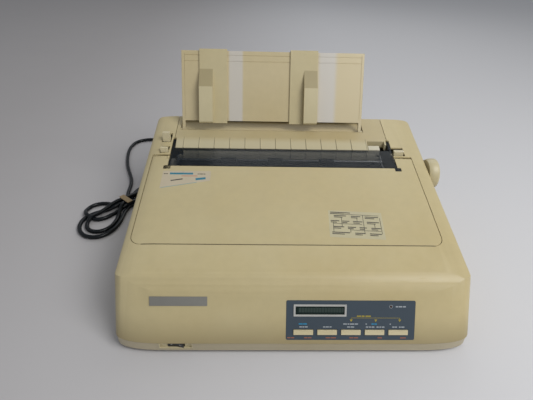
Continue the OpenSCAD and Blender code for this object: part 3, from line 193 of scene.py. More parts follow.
worn_edge.links.new(into.outputs["Start"], ridge.inputs["From Min"])
worn_edge.links.new(into.outputs["End"], ridge.inputs["From Max"])
worn_edge.links.new(ridge.outputs["Result"], both.inputs[0])
worn_edge.links.new(rub.outputs["Fac"], both.inputs[1])
worn_edge.links.new(both.outputs[0], out.inputs["Mask"])
worn_edge.links.new(hollow.outputs["Result"], out.inputs["Hollow"])

settled_dust, into, out = pattern_group("settled_dust", {"Scale": 35.0}, ["Mask"])
shape = put(settled_dust, "ShaderNodeNewGeometry", -900, 250)
place = put(settled_dust, "ShaderNodeTexCoord", -900, -200)
level = put(settled_dust, "ShaderNodeSeparateXYZ", -700, 250)
facing = put(settled_dust, "ShaderNodeMapRange", -500, 250)
facing.inputs["From Min"].default_value = 0.6
drift = put(settled_dust, "ShaderNodeTexNoise", -600, -100)
drift.inputs["Detail"].default_value = 8
drift.inputs["Roughness"].default_value = 0.65
patchy = put(settled_dust, "ShaderNodeMapRange", -400, -100)
patchy.inputs["From Min"].default_value = 0.42
patchy.inputs["From Max"].default_value = 0.72
both = put(settled_dust, "ShaderNodeMath", -150, 100, operation="MULTIPLY")
settled_dust.links.new(shape.outputs["Normal"], level.inputs[0])
settled_dust.links.new(level.outputs["Z"], facing.inputs["Value"])
settled_dust.links.new(place.outputs["Object"], drift.inputs["Vector"])
settled_dust.links.new(into.outputs["Scale"], drift.inputs["Scale"])
settled_dust.links.new(drift.outputs["Fac"], patchy.inputs["Value"])
settled_dust.links.new(facing.outputs["Result"], both.inputs[0])
settled_dust.links.new(patchy.outputs["Result"], both.inputs[1])
settled_dust.links.new(both.outputs[0], out.inputs["Mask"])

slow_ageing, into, out = pattern_group("slow_ageing", {"Scale": 4.5}, ["Broad", "Fine"])
place = put(slow_ageing, "ShaderNodeTexCoord", -900, 0)
broad = put(slow_ageing, "ShaderNodeTexNoise", -600, 150)
broad.inputs["Detail"].default_value = 3
spread = put(slow_ageing, "ShaderNodeMapRange", -300, 150)
spread.inputs["From Min"].default_value = 0.36
spread.inputs["From Max"].default_value = 0.66
small = put(slow_ageing, "ShaderNodeTexNoise", -600, -150)
small.inputs["Scale"].default_value = 85
small.inputs["Detail"].default_value = 7
slow_ageing.links.new(place.outputs["Object"], broad.inputs["Vector"])
slow_ageing.links.new(place.outputs["Object"], small.inputs["Vector"])
slow_ageing.links.new(into.outputs["Scale"], broad.inputs["Scale"])
slow_ageing.links.new(broad.outputs["Fac"], spread.inputs["Value"])
slow_ageing.links.new(spread.outputs["Result"], out.inputs["Broad"])
slow_ageing.links.new(small.outputs["Fac"], out.inputs["Fine"])

hairline_scuffs, into, out = pattern_group("hairline_scuffs", {"Scale": 26.0}, ["Mask"])
place = put(hairline_scuffs, "ShaderNodeTexCoord", -1000, 0)
skew = put(hairline_scuffs, "ShaderNodeMapping", -820, 0)
skew.inputs["Rotation"].default_value = (0.2, 0.1, 0.7)
skew.inputs["Scale"].default_value = (1, 9, 5)
thread = put(hairline_scuffs, "ShaderNodeTexNoise", -600, 0)
thread.inputs["Detail"].default_value = 5
line = put(hairline_scuffs, "ShaderNodeMapRange", -350, 0)
line.inputs["From Min"].default_value = 0.64
line.inputs["From Max"].default_value = 0.70
hairline_scuffs.links.new(place.outputs["Object"], skew.inputs["Vector"])
hairline_scuffs.links.new(skew.outputs["Vector"], thread.inputs["Vector"])
hairline_scuffs.links.new(into.outputs["Scale"], thread.inputs["Scale"])
hairline_scuffs.links.new(thread.outputs["Fac"], line.inputs["Value"])
hairline_scuffs.links.new(line.outputs["Result"], out.inputs["Mask"])


def pattern(tree, group, x, y, **values):
    """Places one of the shared patterns in a material."""
    node = put(tree, "ShaderNodeGroup", x, y, node_tree=group)
    for key, value in values.items():
        node.inputs[key].default_value = value
    return node


def mix_colour(tree, x, y, factor, first, second, way="MIX"):
    """Mixes two colours, each a socket or a fixed colour, by a socket or a number."""
    node = put(tree, "ShaderNodeMix", x, y, data_type="RGBA", blend_type=way)
    for key, value in (("Factor", factor), ("A", first), ("B", second)):
        if isinstance(value, bpy.types.NodeSocket):
            tree.links.new(value, node.inputs[key])
        else:
            node.inputs[key].default_value = value
    return node.outputs["Result"]


def scaled(tree, x, y, value, by, plus=0.0):
    """A mask times a number, plus a number."""
    node = put(tree, "ShaderNodeMath", x, y, operation="MULTIPLY_ADD")
    tree.links.new(value, node.inputs[0])
    node.inputs[1].default_value = by
    node.inputs[2].default_value = plus
    return node.outputs[0]


def moulding(name, fresh, aged, rough=0.45, grain=2400, depth=0.00002, wear=0.4, dust=0.10, hollow_darkening=0.35):
    """Moulded plastic or rubber: uneven ageing, worn edges, dust, darker hollows and fine grain."""
    material, tree, shader = blank_material(name)
    age = pattern(tree, slow_ageing, -1500, 300)
    colour = mix_colour(tree, -1250, 300, age.outputs["Broad"], fresh, aged)
    shade = scaled(tree, -1250, 100, age.outputs["Fine"], 0.10, 0.95)
    colour = mix_colour(tree, -1050, 300, 1.0, colour, shade, "MULTIPLY")
    worn = pattern(tree, worn_edge, -1250, -150)
    rubbed = scaled(tree, -1050, -50, worn.outputs["Mask"], wear)
    pale = tuple(min(1.0, v * 1.3 + 0.04) for v in fresh[:3]) + (1.0,)
    colour = mix_colour(tree, -850, 300, rubbed, colour, pale)
    # Concave hollows, found by pointiness, are darkened towards a deeper tone of the aged colour.
    sunk = scaled(tree, -1050, -250, worn.outputs["Hollow"], hollow_darkening)
    dark = tuple(v * 0.45 for v in aged[:3]) + (1.0,)
    colour = mix_colour(tree, -650, 300, sunk, colour, dark)
    film = pattern(tree, settled_dust, -1250, -450)
    veil = scaled(tree, -850, -300, film.outputs["Mask"], dust)
    colour = mix_colour(tree, -450, 300, veil, colour, hue(172, 168, 158))
    tree.links.new(colour, shader.inputs["Base Color"])
    scuff = pattern(tree, hairline_scuffs, -1250, -650)
    gloss = scaled(tree, -650, -100, age.outputs["Fine"], 0.16, rough - 0.08)
    lift = put(tree, "ShaderNodeMath", -450, -100, operation="MULTIPLY_ADD", use_clamp=True)
    tree.links.new(scuff.outputs["Mask"], lift.inputs[0])
    lift.inputs[1].default_value = 0.12
    tree.links.new(gloss, lift.inputs[2])
    tree.links.new(lift.outputs[0], shader.inputs["Roughness"])
    skin = pattern(tree, mould_grain, -650, -500, Scale=grain)
    bump = put(tree, "ShaderNodeBump", -300, -400)
    bump.inputs["Strength"].default_value = 0.5
    bump.inputs["Distance"].default_value = depth
    tree.links.new(skin.outputs["Height"], bump.inputs["Height"])
    tree.links.new(bump.outputs["Normal"], shader.inputs["Normal"])
    return material


def metal(
    name, bright, dull, rough=0.32, streak=(1, 1, 1), scale=300, metallic=1.0, tarnish=0.5, depth=0.00001,
):
    """Cut, drawn or plated metal: streaks the way it was worked, tarnish in patches, bright edges."""
    material, tree, shader = blank_material(name)
    place = put(tree, "ShaderNodeTexCoord", -1400, 0)
    turn = put(tree, "ShaderNodeMapping", -1200, 0)
    turn.inputs["Scale"].default_value = streak
    grain = put(tree, "ShaderNodeTexNoise", -1000, 0)
    grain.inputs["Scale"].default_value = scale
    grain.inputs["Detail"].default_value = 5
    tree.links.new(place.outputs["Object"], turn.inputs["Vector"])
    tree.links.new(turn.outputs["Vector"], grain.inputs["Vector"])
    age = pattern(tree, slow_ageing, -1200, 300, Scale=28.0)
    patch = scaled(tree, -1000, 300, age.outputs["Broad"], tarnish)
    colour = mix_colour(tree, -750, 250, patch, bright, dull)
    worn = pattern(tree, worn_edge, -1000, -300)
    rubbed = scaled(tree, -750, -250, worn.outputs["Mask"], 0.5)
    rubbed_bright = tuple(min(1.0, v * 1.25) for v in bright[:3]) + (1.0,)
    colour = mix_colour(tree, -500, 250, rubbed, colour, rubbed_bright)
    tree.links.new(colour, shader.inputs["Base Color"])
    shader.inputs["Metallic"].default_value = metallic
    tree.links.new(
        scaled(tree, -500, 0, grain.outputs["Fac"], 0.22, rough - 0.11), shader.inputs["Roughness"],
    )
    bump = put(tree, "ShaderNodeBump", -300, -300)
    bump.inputs["Strength"].default_value = 0.35
    bump.inputs["Distance"].default_value = depth
    tree.links.new(grain.outputs["Fac"], bump.inputs["Height"])
    tree.links.new(bump.outputs["Normal"], shader.inputs["Normal"])
    return material


def dress(material, *names):
    """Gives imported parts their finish."""
    for name in names:
        for place_in_list in nodes[name].material_slots:
            place_in_list.material = material


# The power cord is a 7 mm black flex, 1.75 m long, that leaves the back, lies round on the
# desk and ends in a tied hank of three turns. The route is in millimetres: its first 15 points
# were listed one by one, and the rest were computed, so that the turns lie clear.
cord_material = moulding(
    "flex_black", hue(9, 14, 18), hue(14, 19, 23), rough=0.24, grain=1500, depth=0.000015, wear=0.0,
    dust=0.0, hollow_darkening=0.0,
)
cord_material.node_tree.nodes["Principled BSDF"].inputs["IOR"].default_value = 1.38
cord_radius = 0.0036
cord_route = [
    (-150, 184.6, 34), (-150, 192.6, 34), (-150, 214.6, 34), (-152, 226, 27), (-156, 240, 14),
    (-162, 256, 5), (-170, 275, 4), (-184, 305, 4), (-204, 340, 4), (-230, 372, 4), (-262, 394, 4),
    (-290, 403, 4), (-314, 402, 4), (-333, 390, 4), (-341, 368, 4), (-341.7, 350.2, 4),
    (-340.5, 335.2, 4), (-338.2, 320.4, 3.7), (-335.1, 305.7, 3.7), (-331.4, 291.2, 3.7),
    (-327.1, 276.8, 3.6), (-322, 262.7, 3.6), (-316.4, 248.9, 3.6), (-310.6, 235, 3.6),
    (-305.4, 221, 3.6), (-301.9, 206.5, 3.6), (-300.1, 191.6, 3.6), (-299.2, 176.7, 3.7),
    (-297.6, 161.8, 3.7), (-296.3, 147, 3.8), (-298.9, 133.2, 6.7), (-307, 121.9, 7.7),
    (-319.6, 114.5, 4.1), (-333.1, 107, 3.7), (-345.5, 97.7, 3.7), (-354.1, 85.6, 3.6),
    (-356, 70.9, 3.6), (-352.4, 56.5, 3.6), (-343.9, 44.3, 3.6), (-331.4, 36.8, 3.6),
    (-317, 36.1, 3.6), (-304.2, 42.7, 3.6), (-295.4, 54.4, 3.6), (-290.6, 68.4, 3.6),
    (-288.7, 83, 3.6), (-288.4, 97.8, 3.7), (-287.1, 112.4, 3.7), (-283.4, 125.8, 3.8),
    (-271.8, 133.5, 3.7), (-257.5, 138.1, 3.7), (-243.5, 143, 3.7), (-232.7, 152.1, 3.6),
    (-229.4, 165.7, 3.6), (-233.4, 178.7, 3.6), (-244.5, 186.4, 3.6), (-257.7, 186.1, 3.6),
    (-268, 177.2, 3.6), (-274, 164.4, 3.7), (-278, 150.6, 3.7), (-283.8, 137.9, 3.7),
    (-295.1, 129.3, 3.7), (-309.1, 128.6, 3.7), (-323.7, 132.6, 3.7), (-338.4, 133, 3.7),
    (-351.1, 126.3, 3.7), (-357.7, 113.7, 4), (-356, 100.1, 7.1), (-347.5, 89.8, 7.8),
    (-335.2, 84.8, 4), (-321.4, 87.5, 3.7), (-310.4, 97.3, 3.7), (-301.5, 109.4, 3.9),
    (-291.9, 120.3, 7.4), (-282.1, 130.6, 10.4), (-271.5, 140, 6.3), (-258, 145.4, 3.8),
    (-244.3, 150.7, 4.3), (-234.7, 160.5, 8.1), (-230.9, 174.2, 10.3), (-235.1, 187.6, 7.7),
    (-247.2, 194.4, 4.3), (-261.7, 192.3, 3.7), (-272.9, 182.5, 3.9), (-279.4, 168.9, 6.1),
    (-285.3, 154.9, 9.9), (-294.1, 142, 11.6), (-305.5, 131.8, 12.1), (-315.4, 120.2, 10.9),
    (-323.8, 107.6, 8.9), (-332.7, 95.6, 8.2), (-340.1, 83.1, 9.3), (-343.1, 69.9, 5.2),
    (-337.8, 57.2, 3.7), (-325.5, 50.4, 3.7), (-311.7, 52.8, 3.7), (-301.9, 63.2, 3.7),
    (-297.5, 77.5, 3.7), (-296.2, 92.7, 4.2), (-295.9, 107.6, 8.1), (-294.6, 122.3, 12.3),
    (-289.8, 136.1, 9.6), (-287.4, 149.6, 4.5), (-286.8, 164.3, 3.7), (-283.1, 178.7, 3.7),
    (-275.5, 191.4, 4.4), (-266.7, 202.6, 8.4), (-262, 216, 12),
]
cord_curve = bpy.data.curves.new("power_flex", "CURVE")
cord_curve.dimensions = "3D"
cord_curve.resolution_u = 5
cord_curve.bevel_depth = cord_radius
cord_curve.bevel_resolution = 4
cord_curve.use_fill_caps = True
cord_line = cord_curve.splines.new("BEZIER")
cord_line.bezier_points.add(len(cord_route) - 1)
for point, (x, y, z) in zip(cord_line.bezier_points, cord_route):
    point.co = (x / 1000, y / 1000, z / 1000)
    point.handle_left_type = point.handle_right_type = "AUTO"
power_flex = bpy.data.objects.new("power_flex", cord_curve)
bpy.context.collection.objects.link(power_flex)
power_flex.data.materials.append(cord_material)
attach(power_flex, "case")
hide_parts("power_cord", "cord_hank")


# The lower case is the moulded tray on four rubber feet that carries everything.
# Its edges are not softened, nor the upper case's; those of most mouldings after it are, as a mould leaves
# them.
def only(piece):
    """Makes one piece the only one selected, and the active one."""
    bpy.ops.object.select_all(action="DESELECT")
    piece.select_set(True)
    bpy.context.view_layer.objects.active = piece


def finish_shape(piece, angle=35):
    """Smooth shading that keeps the corners, with the flats kept flat."""
    only(piece)
    bpy.ops.object.transform_apply(location=True, rotation=True, scale=True)
    bpy.ops.object.shade_smooth_by_angle(angle=math.radians(angle))
    flats = piece.modifiers.new("flat faces", "WEIGHTED_NORMAL")
    flats.keep_sharp = True
    bpy.ops.object.modifier_apply(modifier=flats.name)


def settle(piece, material, body, slot, *solids, angle=35):
    """Finishes a piece, gives it its material and says what it moves with and stands for."""
    finish_shape(piece, angle)
    piece.data.materials.clear()
    piece.data.materials.append(material)
    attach(piece, body)
    if solids:
        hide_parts(*solids)
    return piece


def recast(node, name, material, body, slot, soften=0.4, steps=2, flat=0.4):
    """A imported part's shape made as a new piece: welded, its flats joined and its edges softened."""
    piece = bpy.data.objects.new(name, nodes[node].data.copy())
    bpy.context.collection.objects.link(piece)
    only(piece)
    bpy.ops.object.mode_set(mode="EDIT")
    bpy.ops.mesh.select_all(action="SELECT")
    bpy.ops.mesh.remove_doubles(threshold=0.000012)
    bpy.ops.mesh.customdata_custom_splitnormals_clear()
    bpy.ops.mesh.dissolve_limited(angle_limit=math.radians(flat))
    bpy.ops.object.mode_set(mode="OBJECT")
    if soften:
        edges = piece.modifiers.new("softened edges", "BEVEL")
        edges.width = soften / 1000
        edges.segments = steps
        edges.limit_method = "ANGLE"
        edges.angle_limit = math.radians(38)
        edges.use_clamp_overlap = False
        edges.miter_outer = "MITER_ARC"
        bpy.ops.object.modifier_apply(modifier=edges.name)
    return settle(piece, material, body, slot, node)


def spun(name, outline, steps=32):
    """A turned shape: an outline of radius and height in millimetres, drawn and spun upright."""
    bpy.ops.object.select_all(action="DESELECT")
    bpy.ops.mesh.primitive_plane_add(size=0.002)
    piece = bpy.context.object
    piece.name = name
    bpy.ops.object.mode_set(mode="EDIT")
    bpy.ops.mesh.select_all(action="SELECT")
    bpy.ops.mesh.merge(type="CENTER")
    bpy.ops.transform.translate(value=(outline[0][0] / 1000, 0, outline[0][1] / 1000))
    for (r0, h0), (r1, h1) in zip(outline, outline[1:]):
        step = ((r1 - r0) / 1000, 0, (h1 - h0) / 1000)
        bpy.ops.mesh.extrude_vertices_move(TRANSFORM_OT_translate={"value": step})
    bpy.ops.mesh.select_all(action="SELECT")
    bpy.ops.mesh.spin(steps=steps, angle=math.tau, center=(0, 0, 0), axis=(0, 0, 1))
    bpy.ops.mesh.select_all(action="SELECT")
    bpy.ops.mesh.remove_doubles(threshold=0.000008)
    bpy.ops.mesh.normals_make_consistent(inside=False)
    bpy.ops.object.mode_set(mode="OBJECT")
    return piece


def joined(name, pieces):
    """Joins finished shapes into one piece."""
    only(pieces[0])
    for piece in pieces:
        piece.select_set(True)
    if len(pieces) > 1:
        bpy.ops.object.join()
    pieces[0].name = name
    return pieces[0]


def put_at(piece, place, turn=(0, 0, 0)):
    """Turns a piece by degrees and sets it at a place in millimetres."""
    only(piece)
    piece.rotation_euler = [math.radians(v) for v in turn]
    piece.location = [v / 1000 for v in place]
    bpy.ops.object.transform_apply(location=True, rotation=True, scale=True)
    return piece


def copied(piece, place):
    """A copy with its own mesh, moved by millimetres."""
    twin = piece.copy()
    twin.data = piece.data.copy()
    bpy.context.collection.objects.link(twin)
    return put_at(twin, place)


base_plastic = moulding(
    "base_plastic", hue(187, 176, 150), hue(178, 166, 136), rough=0.5, wear=0.3, dust=0.12,
)
foot_rubber = moulding("foot_rubber", hue(46, 45, 44), hue(60, 58, 54), rough=0.8, wear=0.1, dust=0.3)
recast("lower_case", "base_tray", base_plastic, "case", "base_cream", soften=0, flat=0.02)
foot = spun(
    "foot",
    [
        (0, 1.6), (2.6, 1.6), (2.6, 0.5), (3.1, 0.02), (8.6, 0.02), (9.6, 0.6), (9.95, 1.6), (9.95, 4.97),
        (0, 4.97),
    ],
)
feet = [copied(foot, (x, y, 0)) for x, y in ((190, -150.6), (-190, 158.6), (190, 158.6))]
rubber_feet = joined("rubber_feet", [put_at(foot, (-190, -150.6, 0))] + feet)
settle(rubber_feet, foot_rubber, "case", "foot_rubber", "feet")

# The upper case is one large shell, with a well for the print works under the lid, moulded in
# a cream plastic that has yellowed. It drops over the lower case and is screwed from below.
case_plastic = moulding(
    "case_plastic", hue(197, 183, 141), hue(192, 175, 129), rough=0.40, wear=0.35, dust=0.06,
)


def patch(material, tone, strength, soft, **spans):
    """Tints a finish between two places along each axis named, in millimetres, with soft ends."""
    tree = material.node_tree
    shader = tree.nodes["Principled BSDF"]
    place = put(tree, "ShaderNodeTexCoord", -900, 900)
    parts = put(tree, "ShaderNodeSeparateXYZ", -720, 900)
    tree.links.new(place.outputs["Object"], parts.inputs[0])
    mask = None
    for axis, (low, high) in spans.items():
        for edge, away in ((low, -soft), (high, soft)):
            ramp = put(tree, "ShaderNodeMapRange", -540, 900, interpolation_type="SMOOTHSTEP")
            ramp.inputs["From Min"].default_value = (edge + away) / 1000
            ramp.inputs["From Max"].default_value = (edge - away) / 1000
            tree.links.new(parts.outputs[axis], ramp.inputs["Value"])
            if mask is None:
                mask = scaled(tree, -360, 900, ramp.outputs["Result"], strength)
            else:
                both = put(tree, "ShaderNodeMath", -360, 900, operation="MULTIPLY")
                tree.links.new(ramp.outputs["Result"], both.inputs[0])
                tree.links.new(mask, both.inputs[1])
                mask = both.outputs[0]
    before = shader.inputs["Base Color"].links[0].from_socket
    tree.links.new(mix_colour(tree, -200, 900, mask, before, tone), shader.inputs["Base Color"])


# Painted shade: the lower front face is painted darker towards its bottom, where it turns away from the lamp
# above.
patch(case_plastic, hue(140, 124, 88), 1.0, 30, Z=(-40, 26), Y=(-300, -120))
# Painted shade: the left end of the case is painted darker, on the side away from the lamp at the right.
patch(case_plastic, hue(146, 132, 102), 0.75, 60, X=(-400, -240), Y=(-240, 240))
patch(case_plastic, hue(96, 88, 66), 0.75, 0.25, X=(-199, 190), Y=(-92.7, -91.0))
recast("upper_case", "top_shell", case_plastic, "case", "case_cream", soften=0, flat=0.02)

# The front cover swings up on two pins at its rear corners to reach the ribbon.
# It is a thin moulding of the same plastic with a stiffening rim under it.
front_lid = recast("front_cover", "front_lid", case_plastic, "front_cover", "case_cream", soften=0.5)


def stroke(x0, x1, y0, y1, turn=0.0, cuts=0):
    """One flat printed mark between two corners in millimetres, turned by degrees about its middle."""
    bpy.ops.object.select_all(action="DESELECT")
    bpy.ops.mesh.primitive_plane_add(size=0.001)
    mark = bpy.context.object
    mark.scale = (x1 - x0, y1 - y0, 1)
    put_at(mark, ((x0 + x1) / 2, (y0 + y1) / 2, 0), (0, 0, turn))
    if cuts:
        bpy.ops.object.mode_set(mode="EDIT")
        bpy.ops.mesh.select_all(action="SELECT")
        bpy.ops.mesh.subdivide(number_cuts=cuts)
        bpy.ops.object.mode_set(mode="OBJECT")
    return mark


def printed(name, target, origin, slope, lift, marks, material, body, slot, turn=0.0, about=(0, 0)):
    """Lays flat marks on a sloping face, a few hundredths above it, and gives them a thickness."""
    piece = joined(name, marks)
    if turn:
        put_at(piece, (-about[0], -about[1], 0))
        put_at(piece, (about[0], about[1], 0), (0, 0, turn))
    put_at(piece, origin, (slope, 0, 0))
    wrap = piece.modifiers.new("laid on", "SHRINKWRAP")
    wrap.target = target
    wrap.wrap_method = "NEAREST_SURFACEPOINT"
    wrap.wrap_mode = "ABOVE_SURFACE"
    wrap.offset = lift / 1000
    bpy.ops.object.modifier_apply(modifier=wrap.name)
    skin = piece.modifiers.new("thickness", "SOLIDIFY")
    skin.thickness = 0.00004
    skin.offset = -1
    bpy.ops.object.modifier_apply(modifier=skin.name)
    return settle(piece, material, body, slot)


def ink(name, tone, rough=0.45):
    """Printed ink or thin film, worn a little unevenly."""
    faded = tuple(v * 0.88 for v in tone[:3]) + (1.0,)
    return moulding(name, tone, faded, rough=rough, depth=0.000004, wear=0.0, dust=0.1, hollow_darkening=0.0)


deck_slope = 12.2
crease = (0, -145.4, 88)
film_lift = 0.08
ink_lift = 0.14
film_clear = ink("film_clear", hue(197, 184, 158), 0.3)
film_grey = ink("film_grey", hue(198, 189, 154), 0.35)
ink_dark = ink("ink_dark", hue(66, 64, 58))
ink_teal = ink("ink_teal", hue(38, 122, 146))
ink_coral = ink("ink_coral", hue(196, 112, 84))
lid_print = ("front_cover", "case_cream")
# A clear sticker with a slanted foot, and a plain pattern of bars on it.
sticker_x0, sticker_x1, sticker_y0, sticker_y1 = -192, -119, 157, 195
foot_rise = 17
sticker = stroke(sticker_x0, sticker_x1, sticker_y0, sticker_y1, cuts=12)
for corner in sticker.data.vertices:
    across = (corner.co.x * 1000 - sticker_x0) / (sticker_x1 - sticker_x0)
    down = (sticker_y1 - corner.co.y * 1000) / (sticker_y1 - sticker_y0)
    corner.co.y = (sticker_y1 - down * (sticker_y1 - sticker_y0 - foot_rise * across)) / 1000
printed("lid_sticker", front_lid, crease, deck_slope, film_lift, [sticker], film_clear, *lid_print)
printed(
    "sticker_bar", front_lid, crease, deck_slope, ink_lift,
    [stroke(-181, -146, 187.0, 190.8, cuts=6), stroke(-141, -126, 175.8, 180.2, 9, cuts=3)], ink_teal,
    *lid_print,
)
printed(
    "sticker_stripe", front_lid, crease, deck_slope, ink_lift,
    [stroke(-163, -139, 183.2, 184.4, 1, cuts=4)], ink_coral, *lid_print,
)
dash_places = ((-190, 2.6), (-186.8, 2.6), (-139, 3), (-135.3, 4.4), (-130.2, 3))
dashes = [stroke(x, x + w, 187.6, 189.2, cuts=1) for x, w in dash_places]
dashes += [stroke(-178, -160, 174.2, 176.4, 12, cuts=4)]
printed("sticker_dashes", front_lid, crease, deck_slope, ink_lift, dashes, ink_dark, *lid_print)
printed(
    "sticker_edge", front_lid, crease, deck_slope, ink_lift, [stroke(-191, -138, 163.4, 165.0, 13, cuts=8)],
    ink("ink_pale_blue", hue(160, 172, 160)), *lid_print,
)
# A key chart on grey film: boxes joined by lines, with no words.
chart = {"turn": -3.2, "about": (89, 90)}
printed(
    "lid_chart", front_lid, crease, deck_slope, film_lift, [stroke(51.5, 126.5, 66.5, 114.5, cuts=3)],
    film_grey, *lid_print, **chart,
)
lines = []
for row, column, width in (
    (110.5, 54, 28), (104.5, 59, 17), (104.5, 83, 13), (104.5, 102, 19), (95, 54, 12), (95, 70, 10),
    (95, 85, 13), (95, 104, 17), (84.5, 57, 15), (84.5, 77, 11), (84.5, 93, 10), (84.5, 109, 13),
    (74.5, 55, 24), (74.5, 86, 14), (74.5, 106, 16),
):
    lines += [
        stroke(column, column + width, row, row + 1.5),
        stroke(column, column + width * 0.7, row - 2.6, row - 1.2),
    ]
for column, low, high in (
    (57, 76, 94), (69, 86, 103), (80, 76, 83), (90.5, 97, 103), (99, 76, 108), (114, 86, 93),
    (122.5, 76, 104),
):
    lines.append(stroke(column, column + 0.7, low, high))
for low, left, right in ((108, 69, 122), (90.5, 57, 97), (80, 80, 122)):
    lines.append(stroke(left, right, low, low + 0.7))
printed("chart_lines", front_lid, crease, deck_slope, ink_lift, lines, ink_dark, *lid_print, **chart)

# The rear cover closes the back of the deck and carries the paper stand in a trough.
# Thin ribs on its sunk front lip guide the paper, and painted shade darkens the corners beside them.
rear_plastic = moulding(
    "rear_plastic", hue(190, 176, 136), hue(184, 166, 122), rough=0.42, wear=0.35, dust=0.06,
)
# Painted light: the sunk lip is painted lighter than the deck, which lies in the stand's shadow.
patch(rear_plastic, hue(203, 195, 164), 0.6, 7, Y=(96, 122), X=(-196, 182))
# Painted shade: a thin dark line along the left side of each rib.
first_rib, rib_pitch, rib_count = -169.5, 25.4, 13
for rib in range(rib_count):
    middle = first_rib + rib_pitch * rib
    patch(rear_plastic, hue(104, 96, 74), 0.75, 0.35, Y=(104.5, 127), X=(middle - 1.25, middle - 0.55))
patch(rear_plastic, hue(84, 78, 62), 0.8, 0.3, Y=(102, 104.3), X=(-186, 172))
recast("rear_cover", "rear_lid", rear_plastic, "rear_cover", "case_cream")

# The paper stand is a flat moulded panel on two legs that fold back into the rear cover.
# Its middle has yellowed, but not where the paper guides once stood.
stand_plastic = moulding(
    "stand_plastic", hue(199, 184, 146), hue(193, 176, 132), rough=0.42, wear=0.3, dust=0.05,
)
# The right end is painted paler and lighter than the rest.
patch(stand_plastic, hue(211, 197, 162), 0.8, 8, X=(70, 140))
patch(stand_plastic, hue(203, 198, 190), 0.85, 2.2, X=(-97, -74))
patch(stand_plastic, hue(206, 202, 196), 0.85, 4.5, X=(54, 84))
recast("paper_stand", "stand_panel", stand_plastic, "stand", "case_cream", soften=0.3)

# Two paper guides hook over the stand's edges and slide along it. Each has a raised block
# with a sloping head on the side that the sheets don't touch.
guide_cream = moulding("guide_cream", hue(196, 183, 144), hue(190, 175, 132), rough=0.42, wear=0.3, dust=0.05)
# Painted shade and light: each block's sloping head is painted darker, and its upright front below is painted
# lighter.
for left, right in ((-146.5, -123.5), (29.5, 52.5)):
    patch(guide_cream, hue(164, 150, 112), 0.75, 0.3, X=(left + 0.4, right - 0.4), Z=(219.6, 242))
    patch(guide_cream, hue(204, 194, 160), 0.4, 0.4, X=(left + 0.4, right - 0.4), Z=(140, 219.6))
recast("guide_left", "left_guide", guide_cream, "guide_left", "pale_cream", soften=0.5)
recast("guide_right", "right_guide", guide_cream, "guide_right", "pale_cream", soften=0.5)

# The paper knob is pressed on the end of the platen's shaft. It is a paler, newer plastic,
# smoothly rounded, with a dished end for a fingertip.
pale_plastic = moulding(
    "pale_plastic", hue(203, 192, 156), hue(194, 180, 140), rough=0.36, wear=0.3, dust=0.05, hollow_darkening=0.15,
)
knob_low, knob_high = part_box("platen_knob")
knob_y, knob_z = [(knob_low[k] + knob_high[k]) * 500 for k in (1, 2)]
knob_outline = [
    (0, 0.05), (20.8, 0.05), (22.2, 0.4), (22.9, 1.6), (23.4, 3.2), (24.1, 5.0), (24.42, 8.0),
    (24.42, 12.6), (24.1, 14.4), (23.2, 15.8), (21.6, 16.45), (19.4, 16.45), (18.2, 15.6), (17.4, 14.6),
    (0, 14.2),
]
knob = spun("paper_knob", knob_outline, 72)
put_at(knob, (knob_low[0] * 1000, knob_y, knob_z), (0, 90, 0))
settle(knob, pale_plastic, "platen", "pale_cream", "platen_knob")

# The window is a sheet of smoked acrylic that hinges on the rear cover, with a finger tab at
# each front corner. Light passes through it, so the works show darkly.
smoked, tree, shader = blank_material("smoked_acrylic")
film = pattern(tree, settled_dust, -700, 0, Scale=22.0)
veil = scaled(tree, -500, 0, film.outputs["Mask"], 0.10)
tree.links.new(
    mix_colour(tree, -300, 100, veil, hue(12, 24, 31), hue(96, 100, 98)), shader.inputs["Base Color"],
)
tree.links.new(scaled(tree, -300, -250, film.outputs["Mask"], 0.10, 0.44), shader.inputs["Alpha"])
tree.links.new(scaled(tree, -300, -50, film.outputs["Mask"], 0.12, 0.06), shader.inputs["Roughness"])
shader.inputs["IOR"].default_value = 1.40
recast("smoked_window", "window_pane", smoked, "window", "smoked", soften=0.5)

# The control panel is a grey-blue plate in a recess of the front face, printed with small
# coloured marks. A bright frame holds the display, and a lamp shows above the last key.
face_slope = 60.4
panel_lift = 0.06
panel_grey = moulding("panel_grey", hue(61, 74, 85), hue(57, 69, 79), rough=0.5, wear=0.05, dust=0.06)
ink_white = ink("ink_white", hue(176, 182, 186))
ink_yellow = ink("ink_yellow", hue(178, 158, 40))
ink_orange = ink("ink_orange", hue(172, 104, 72))
ink_blue = ink("ink_blue", hue(40, 136, 176))
panel_print = ("case", "panel_grey")
dress(panel_grey, "control_panel")


def row_of(places, low, high):
    """A row of short printed dashes of one height."""
    return [stroke(x, x + w, low, high) for x, w in places]


white = row_of(
    (
        (5.5, 3), (9.3, 2.4), (12.4, 3.4), (35, 2.4), (38, 4), (42.8, 2.6), (64.8, 3.8), (69.4, 4.2),
        (88, 3.2), (92, 2.6), (95.4, 3.4), (101.4, 2.8), (105, 2.2), (108, 3.2), (121, 3), (124.6, 2.4),
        (129.4, 2.2), (132.4, 3.8),
    ),
    -58.4, -57.1,
)
white += row_of(((59.8, 4.6), (65.2, 2.2), (68.2, 5), (74, 4.2), (87.6, 1.5), (117.6, 1.5)), -54.6, -53.3)
white += row_of(((124.4, 2.8), (128, 4.6), (133.4, 3.6)), -32.6, -31.1)
printed(
    "panel_white_marks", nodes["control_panel"], crease, face_slope, panel_lift, white, ink_white,
    *panel_print,
)
printed(
    "panel_blue_marks", nodes["control_panel"], crease, face_slope, panel_lift,
    row_of(((4.6, 4.8), (10, 4.8), (95, 3), (98.6, 3)), -54.8, -53.1), ink_blue, *panel_print,
)
